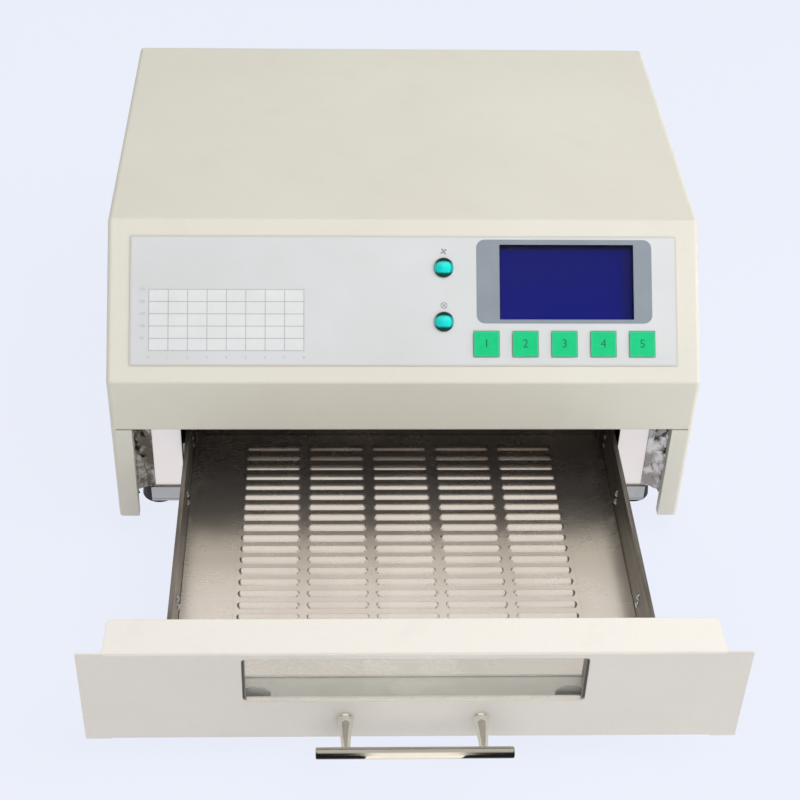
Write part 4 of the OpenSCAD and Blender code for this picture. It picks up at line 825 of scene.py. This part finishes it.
# the drawer's handle: a polished bar on two turned posts; barEnd is how far the bar's end is drawn in
handle = {"length": 92, "radius": 2.75, "reach": 21, "height": 32, "postX": 32, "faceY": -1.5,
          "barSteps": 48, "postSteps": 40,
          "barEnd": [(2.75, 0), (0.75, 0), (0.45, 0.06), (0.2, 0.22), (0.05, 0.45), (0, 0.8), (0, 1.1),
                     (0, 1.6)],
          "post": [(0, 0), (4.2, 0), (4.2, 0.9), (4.05, 1.35), (3.8, 1.7), (3.72, 2.4), (3.7, 4.6),
                   (3.55, 5.4), (3.1, 7.6), (2.75, 10.2), (2.45, 13), (2.25, 15.6), (2.2, 17.6),
                   (2.2, 20), (0, 20.2)]}


def drawerHandle():
    bar, posts = bmesh.new(), bmesh.new()
    length, faceY, height = handle["length"], handle["faceY"], handle["height"]
    end = [(handle["radius"] - inset, z) for inset, z in handle["barEnd"]]
    profile = end + [(r, length - z) for r, z in reversed(end)]
    spinProfile(bar, profile, handle["barSteps"], Matrix.Translation(
        (-length / 2, faceY - handle["reach"], height)) @ Matrix.Rotation(math.pi / 2, 4, "Y"))
    finishPiece("handleBar", bar, inDrawer, "drawer", "chrome", ["handle_bar"], sharp=40)
    for side in (-1, 1):
        spinProfile(posts, handle["post"], handle["postSteps"], Matrix.Translation(
            (side * handle["postX"], faceY, height)) @ Matrix.Rotation(math.pi / 2, 4, "X"))
    # painted light: the posts get a lighter copy of the bar's chrome, as if more lit
    litPostChrome = sheetMetal("postChrome", screenColour(246, 243, 236), screenColour(238, 234, 226),
                          0.02, 0.05, scratch=0.01, smudge=0.03, edge=0)
    finishPiece("handlePosts", posts, inDrawer, "drawer", "chrome", ["handle_posts"], sharp=40,
                finish=litPostChrome)


drawerHandle()

# pan-head screws with a cross recess, where the casing's plain ones stand
screw = {"profile": [(0, -6), (1.9, -6), (1.9, 0), (3.5, 0), (3.5, 0.5), (3.38, 1.0), (3.1, 1.42),
                     (2.6, 1.74), (1.9, 1.93), (0, 2.0)],
         "head": 2, "steps": 24, "slot": (2.05, 0.42, 1.1), "turnStep": 0.7}


def looseParts(shape):
    # the corners of each separate solid
    seen = set()
    for start in shape.verts:
        part, edge = [], [start] if start not in seen else []
        seen.add(start)
        while edge:
            vert = edge.pop()
            part.append(vert.co.copy())
            others = [link.other_vert(vert) for link in vert.link_edges]
            edge += [other for other in others if other not in seen]
            seen.update(others)
        if part:
            yield part


def screwPlaces():
    # where each screw's head meets the sheet, with its axis turned outwards
    source = bmesh.new()
    source.from_mesh(nodes["casing_screws"].data)
    bmesh.ops.remove_doubles(source, verts=source.verts, dist=0.00001)
    places = []
    for part in looseParts(source):
        low, high = (Vector([pick(c[i] for c in part) for i in range(3)]) / mm for pick in (min, max))
        seat = (low + high) / 2
        if high.x - low.x > high.y - low.y:
            way = math.copysign(1, seat.x)
            seat.x = high.x - screw["head"] if way > 0 else low.x + screw["head"]
            turn = Matrix.Rotation(way * math.pi / 2, 4, "Y")
        else:
            seat.y = high.y - screw["head"]
            turn = Matrix.Rotation(-math.pi / 2, 4, "X")
        places.append(Matrix.Translation(seat) @ turn)
    source.free()
    return places


def casingScrews():
    places = screwPlaces()
    heads, crosses = bmesh.new(), bmesh.new()
    halfL, halfW, depth = screw["slot"]
    for k, place in enumerate(places):
        spinProfile(heads, screw["profile"], screw["steps"], place)
        spun = place @ Matrix.Rotation(screw["turnStep"] * k, 4, "Z")
        for quarter in (0, math.pi / 2):     # one bar is a little less deep, so no two faces share a plane
            bar = addBar(crosses, (-halfL, -halfW, screw["head"] - depth + 0.02 * quarter),
                         (halfL, halfW, screw["head"] + 1))
            bmesh.ops.transform(crosses, matrix=spun @ Matrix.Rotation(quarter, 4, "Z"), verts=bar)
    finishPiece("casingScrews", heads, Matrix.Scale(mm, 4), "casing", "zinc_steel", ["casing_screws"],
                cutter=crosses, sharp=30)
    return len(places)


print("handle and", casingScrews(), "screws made")


# crumpled foil tape that closes the gap between the casing's front folds and the baffle
foil = {"path": [(151, 1.2), (149, 1.45), (145.5, 3.66), (147.5, 6.37), (144, 7.35), (144.5, 10.06),
                 (141, 11.66), (139, 13.1), (135.5, 13.5)],
        "low": 25.0, "high": 69.8, "thickness": 0.12, "across": 4, "up": 34, "crumple": 1.9, "fades": (3, 4),
        "fold": (0.13, 0.16, 0.085), "foldShift": 9, "foldRest": 0.4, "crease": (0.33, 0.33, 0.3),
        "creaseShift": 4, "creaseShare": 0.6, "sideways": 0.75, "lengthways": 0.6, "rear": (13.2, 6),
        "between": (1.0, 13.6), "toneFade": (-100, 100)}


def foilFinish():
    # brighter at the right and darker at the left as painted light and shade, in soft creases
    finish = Finish("crumpledFoil", Metallic=1.0)
    crumple = finish.noise(finish.place((1, 1, 0.6)), 260, 4, 0.65, 0.8)
    cloud = finish.noise(finish.place(), 130, 4, 0.6, 0.5)
    x, y, z = finish.millimetres()
    dull = finish.mix(finish.ease(cloud, 0.4, 0.66), screenColour(92, 84, 72), screenColour(170, 163, 151))
    bright = finish.mix(finish.ease(cloud, 0.36, 0.6), screenColour(150, 143, 134),
                        screenColour(214, 209, 202))
    return finish.feed(
        Base_Color=finish.mix(finish.ease(x, *foil["toneFade"]), dull, bright),
        Roughness=finish.vary(cloud, 0.14, 0.26),
        Normal=finish.relief(crumple, 0.8, 0.8))


def crumpled(place, side):
    # pushes a point of the tape along two sizes of crease, which die out at its glued edges
    def within(value):
        return min(1, max(0, value))

    x, y, z = place
    outer, inner = foil["path"][0][0], foil["path"][-1][0]
    free = within((outer - x) / foil["fades"][0]) * within((x - inner) / foil["fades"][1])
    a, b, c = foil["fold"]
    fold = abs(noise.noise((x * a + side * foil["foldShift"], y * b, z * c))) * 2 - foil["foldRest"]
    a, b, c = foil["crease"]
    crease = noise.noise((x * a, y * b + side * foil["creaseShift"], z * c))
    push = foil["crumple"] * free * (fold + crease * foil["creaseShare"])
    rear, fade = foil["rear"]
    y += push * foil["lengthways"] * within((rear - y) / fade)
    return x + push * foil["sideways"], min(foil["between"][1], max(foil["between"][0], y)), z


def foilTape():
    strips = bmesh.new()
    for side in (-1, 1):
        strip = bmesh.new()
        verts = [strip.verts.new((x, y, foil["low"])) for x, y in foil["path"]]
        edges = [strip.edges.new(pair) for pair in zip(verts, verts[1:])]
        raised = bmesh.ops.extrude_edge_only(strip, edges=edges)["geom"]
        bmesh.ops.translate(strip, vec=(0, 0, foil["high"] - foil["low"]),
                            verts=[v for v in raised if isinstance(v, bmesh.types.BMVert)])
        upright = [e for e in strip.edges if abs(e.verts[0].co.z - e.verts[1].co.z) > 1]
        bmesh.ops.subdivide_edges(strip, edges=upright, cuts=foil["up"], use_grid_fill=True)
        level = [e for e in strip.edges if abs(e.verts[0].co.z - e.verts[1].co.z) < 0.01]
        bmesh.ops.subdivide_edges(strip, edges=level, cuts=foil["across"] - 1, use_grid_fill=True)
        bmesh.ops.smooth_vert(strip, verts=[v for v in strip.verts if not v.is_boundary], factor=0.35,
                              use_axis_x=True, use_axis_y=True)
        for vert in strip.verts:
            vert.co = crumpled(vert.co, side)
        bmesh.ops.triangulate(strip, faces=strip.faces)
        bmesh.ops.recalc_face_normals(strip, faces=strip.faces)
        if sum(f.normal.y for f in strip.faces) > 0:
            bmesh.ops.reverse_faces(strip, faces=strip.faces)
        if side < 0:
            bmesh.ops.transform(strip, matrix=Matrix.Scale(-1, 4, (1, 0, 0)), verts=strip.verts)
            bmesh.ops.reverse_faces(strip, faces=strip.faces)
        half = bpy.data.meshes.new("foilHalf")
        strip.to_mesh(half)
        strip.free()
        strips.from_mesh(half)
        bpy.data.meshes.remove(half)
    finishPiece("foilTape", strips, inCasing, "casing", "aluminium", ["foil_tape"],
                [("SOLIDIFY", {"thickness": foil["thickness"] * mm, "offset": 0})], sharp=18,
                finish=foilFinish())


foilTape()
print("foil tape crumpled")


# the stage: a pale studio that metal reflects, with an unlit part ahead that holds a narrow softbox
studio = {"floor": 6.0, "background": screenColour(237, 241, 253), "ownColour": 0.92, "level": 0.46,
          "soft": screenColour(247, 244, 240), "unlit": screenColour(44, 43, 44),
          "unlitNorth": (-0.08, 0.02), "unlitUp": (0.6, 0.96), "unlitFloor": (-0.22, -0.12),
          "softbox": (2.0, 1.92, 1.8, 1), "softboxEast": (0.026, 0.086), "stripFrom": 0.0225,
          "stripWider": (-0.0226, 0.023), "aim": (0, 0, 0.05),
          "lamps": {"key": ((0.6, -0.35, 1.45), 1.2, 10.4), "right": ((1.4, -0.35, 0.6), 0.9, 6.2),
                    "front": ((-0.2, -2.6, 0.75), 1.6, 13.5)}}


def paleFloor():
    # the camera sees it as pale as the background, with the oven's shadow; metal sees the studio in it
    shape = bmesh.new()
    bmesh.ops.create_grid(shape, x_segments=1, y_segments=1, size=studio["floor"] / 2)
    floor = setDown("floor", shape)
    finish = Finish("paleFloor", Base_Color=screenColour(236, 238, 244), Roughness=0.9,
                    Specular_IOR_Level=0.1)
    seen, mirrored = finish.seenBy()
    x, y, z = finish.axes(finish.place())
    away = (drawerY - studio["stripFrom"]) - y      # the softbox ahead also lights a strip of the floor
    west, east = (away * slope + wider for slope, wider in zip(studio["softboxEast"], studio["stripWider"]))
    strip = (x > west) * (x < east) * (away > 0)
    ahead = finish.ease(y, *(frontY + reach for reach in studio["unlitFloor"]), 1, 0)
    room = finish.mix(strip, studio["unlit"], studio["softbox"])
    shine = finish.node("ShaderNodeEmission", {}, {
        "Color": finish.mix(mirrored * ahead, studio["background"], room), "Strength": 1.0})
    both = finish.node("ShaderNodeMixShader", {}, {
        0: finish.maths("MAXIMUM", seen * studio["ownColour"], mirrored),
        1: Signal(finish, finish.shader.outputs[0]), 2: shine})
    finish.tree.links.new(both.socket, finish.tree.nodes["Material Output"].inputs[0])
    floor.data.materials.append(finish.material)


def studioWorld():
    world = bpy.data.worlds.new("studio")
    world.use_nodes = True
    bpy.context.scene.world = world
    sky = Network(world.node_tree)
    east, north, up = sky.axes(sky.node("ShaderNodeTexCoord"))
    seen, mirrored = sky.seenBy()
    ahead = sky.ease(north, *studio["unlitNorth"], 1, 0) * sky.ease(up, *studio["unlitUp"], 1, 0)
    strip = (east > studio["softboxEast"][0]) * (east < studio["softboxEast"][1])
    room = sky.mix(strip, studio["unlit"], studio["softbox"])
    tone = sky.mix(seen, [studio["level"]] * 3 + [1], studio["background"])
    colour = sky.mix(mirrored, tone, sky.mix(ahead, studio["soft"], room))
    sky.tree.links.new(colour.socket, sky.tree.nodes["Background"].inputs["Color"])


def areaLamp(name, place, size, power):
    lamp = bpy.data.lights.new(name, "AREA")
    lamp.shape = "DISK"
    lamp.size = size
    lamp.energy = power
    holder = bpy.data.objects.new(name, lamp)
    holder.location = place
    holder.rotation_euler = (Vector(studio["aim"]) - Vector(place)).to_track_quat("-Z", "Y").to_euler()
    holder.visible_glossy = False
    bpy.context.scene.collection.objects.link(holder)


paleFloor()
studioWorld()
for name, (place, size, power) in studio["lamps"].items():
    areaLamp(name + "Lamp", place, size, power)

view = {"place": (-0.0427, -0.701575, 0.6264), "pitch": 51.34, "yaw": 2.05, "roll": 1.29, "lens": 72.9,
        "sensor": 36, "shift": 0.04, "nearest": 0.01}
camera = bpy.data.cameras.new("camera")
camera.lens = view["lens"]
camera.sensor_width = view["sensor"]
camera.shift_x = view["shift"]
camera.clip_start = view["nearest"]
cameraHolder = bpy.data.objects.new("camera", camera)
cameraHolder.matrix_world = (Matrix.Translation(view["place"])
                             @ Matrix.Rotation(math.radians(-view["yaw"]), 4, "Z")
                             @ Matrix.Rotation(math.radians(view["pitch"]), 4, "X")
                             @ Matrix.Rotation(math.radians(view["roll"]), 4, "Z"))
bpy.context.scene.collection.objects.link(cameraHolder)
bpy.context.scene.camera = cameraHolder
bpy.context.scene.view_settings.view_transform = "Standard"

print("stage, light and camera set")
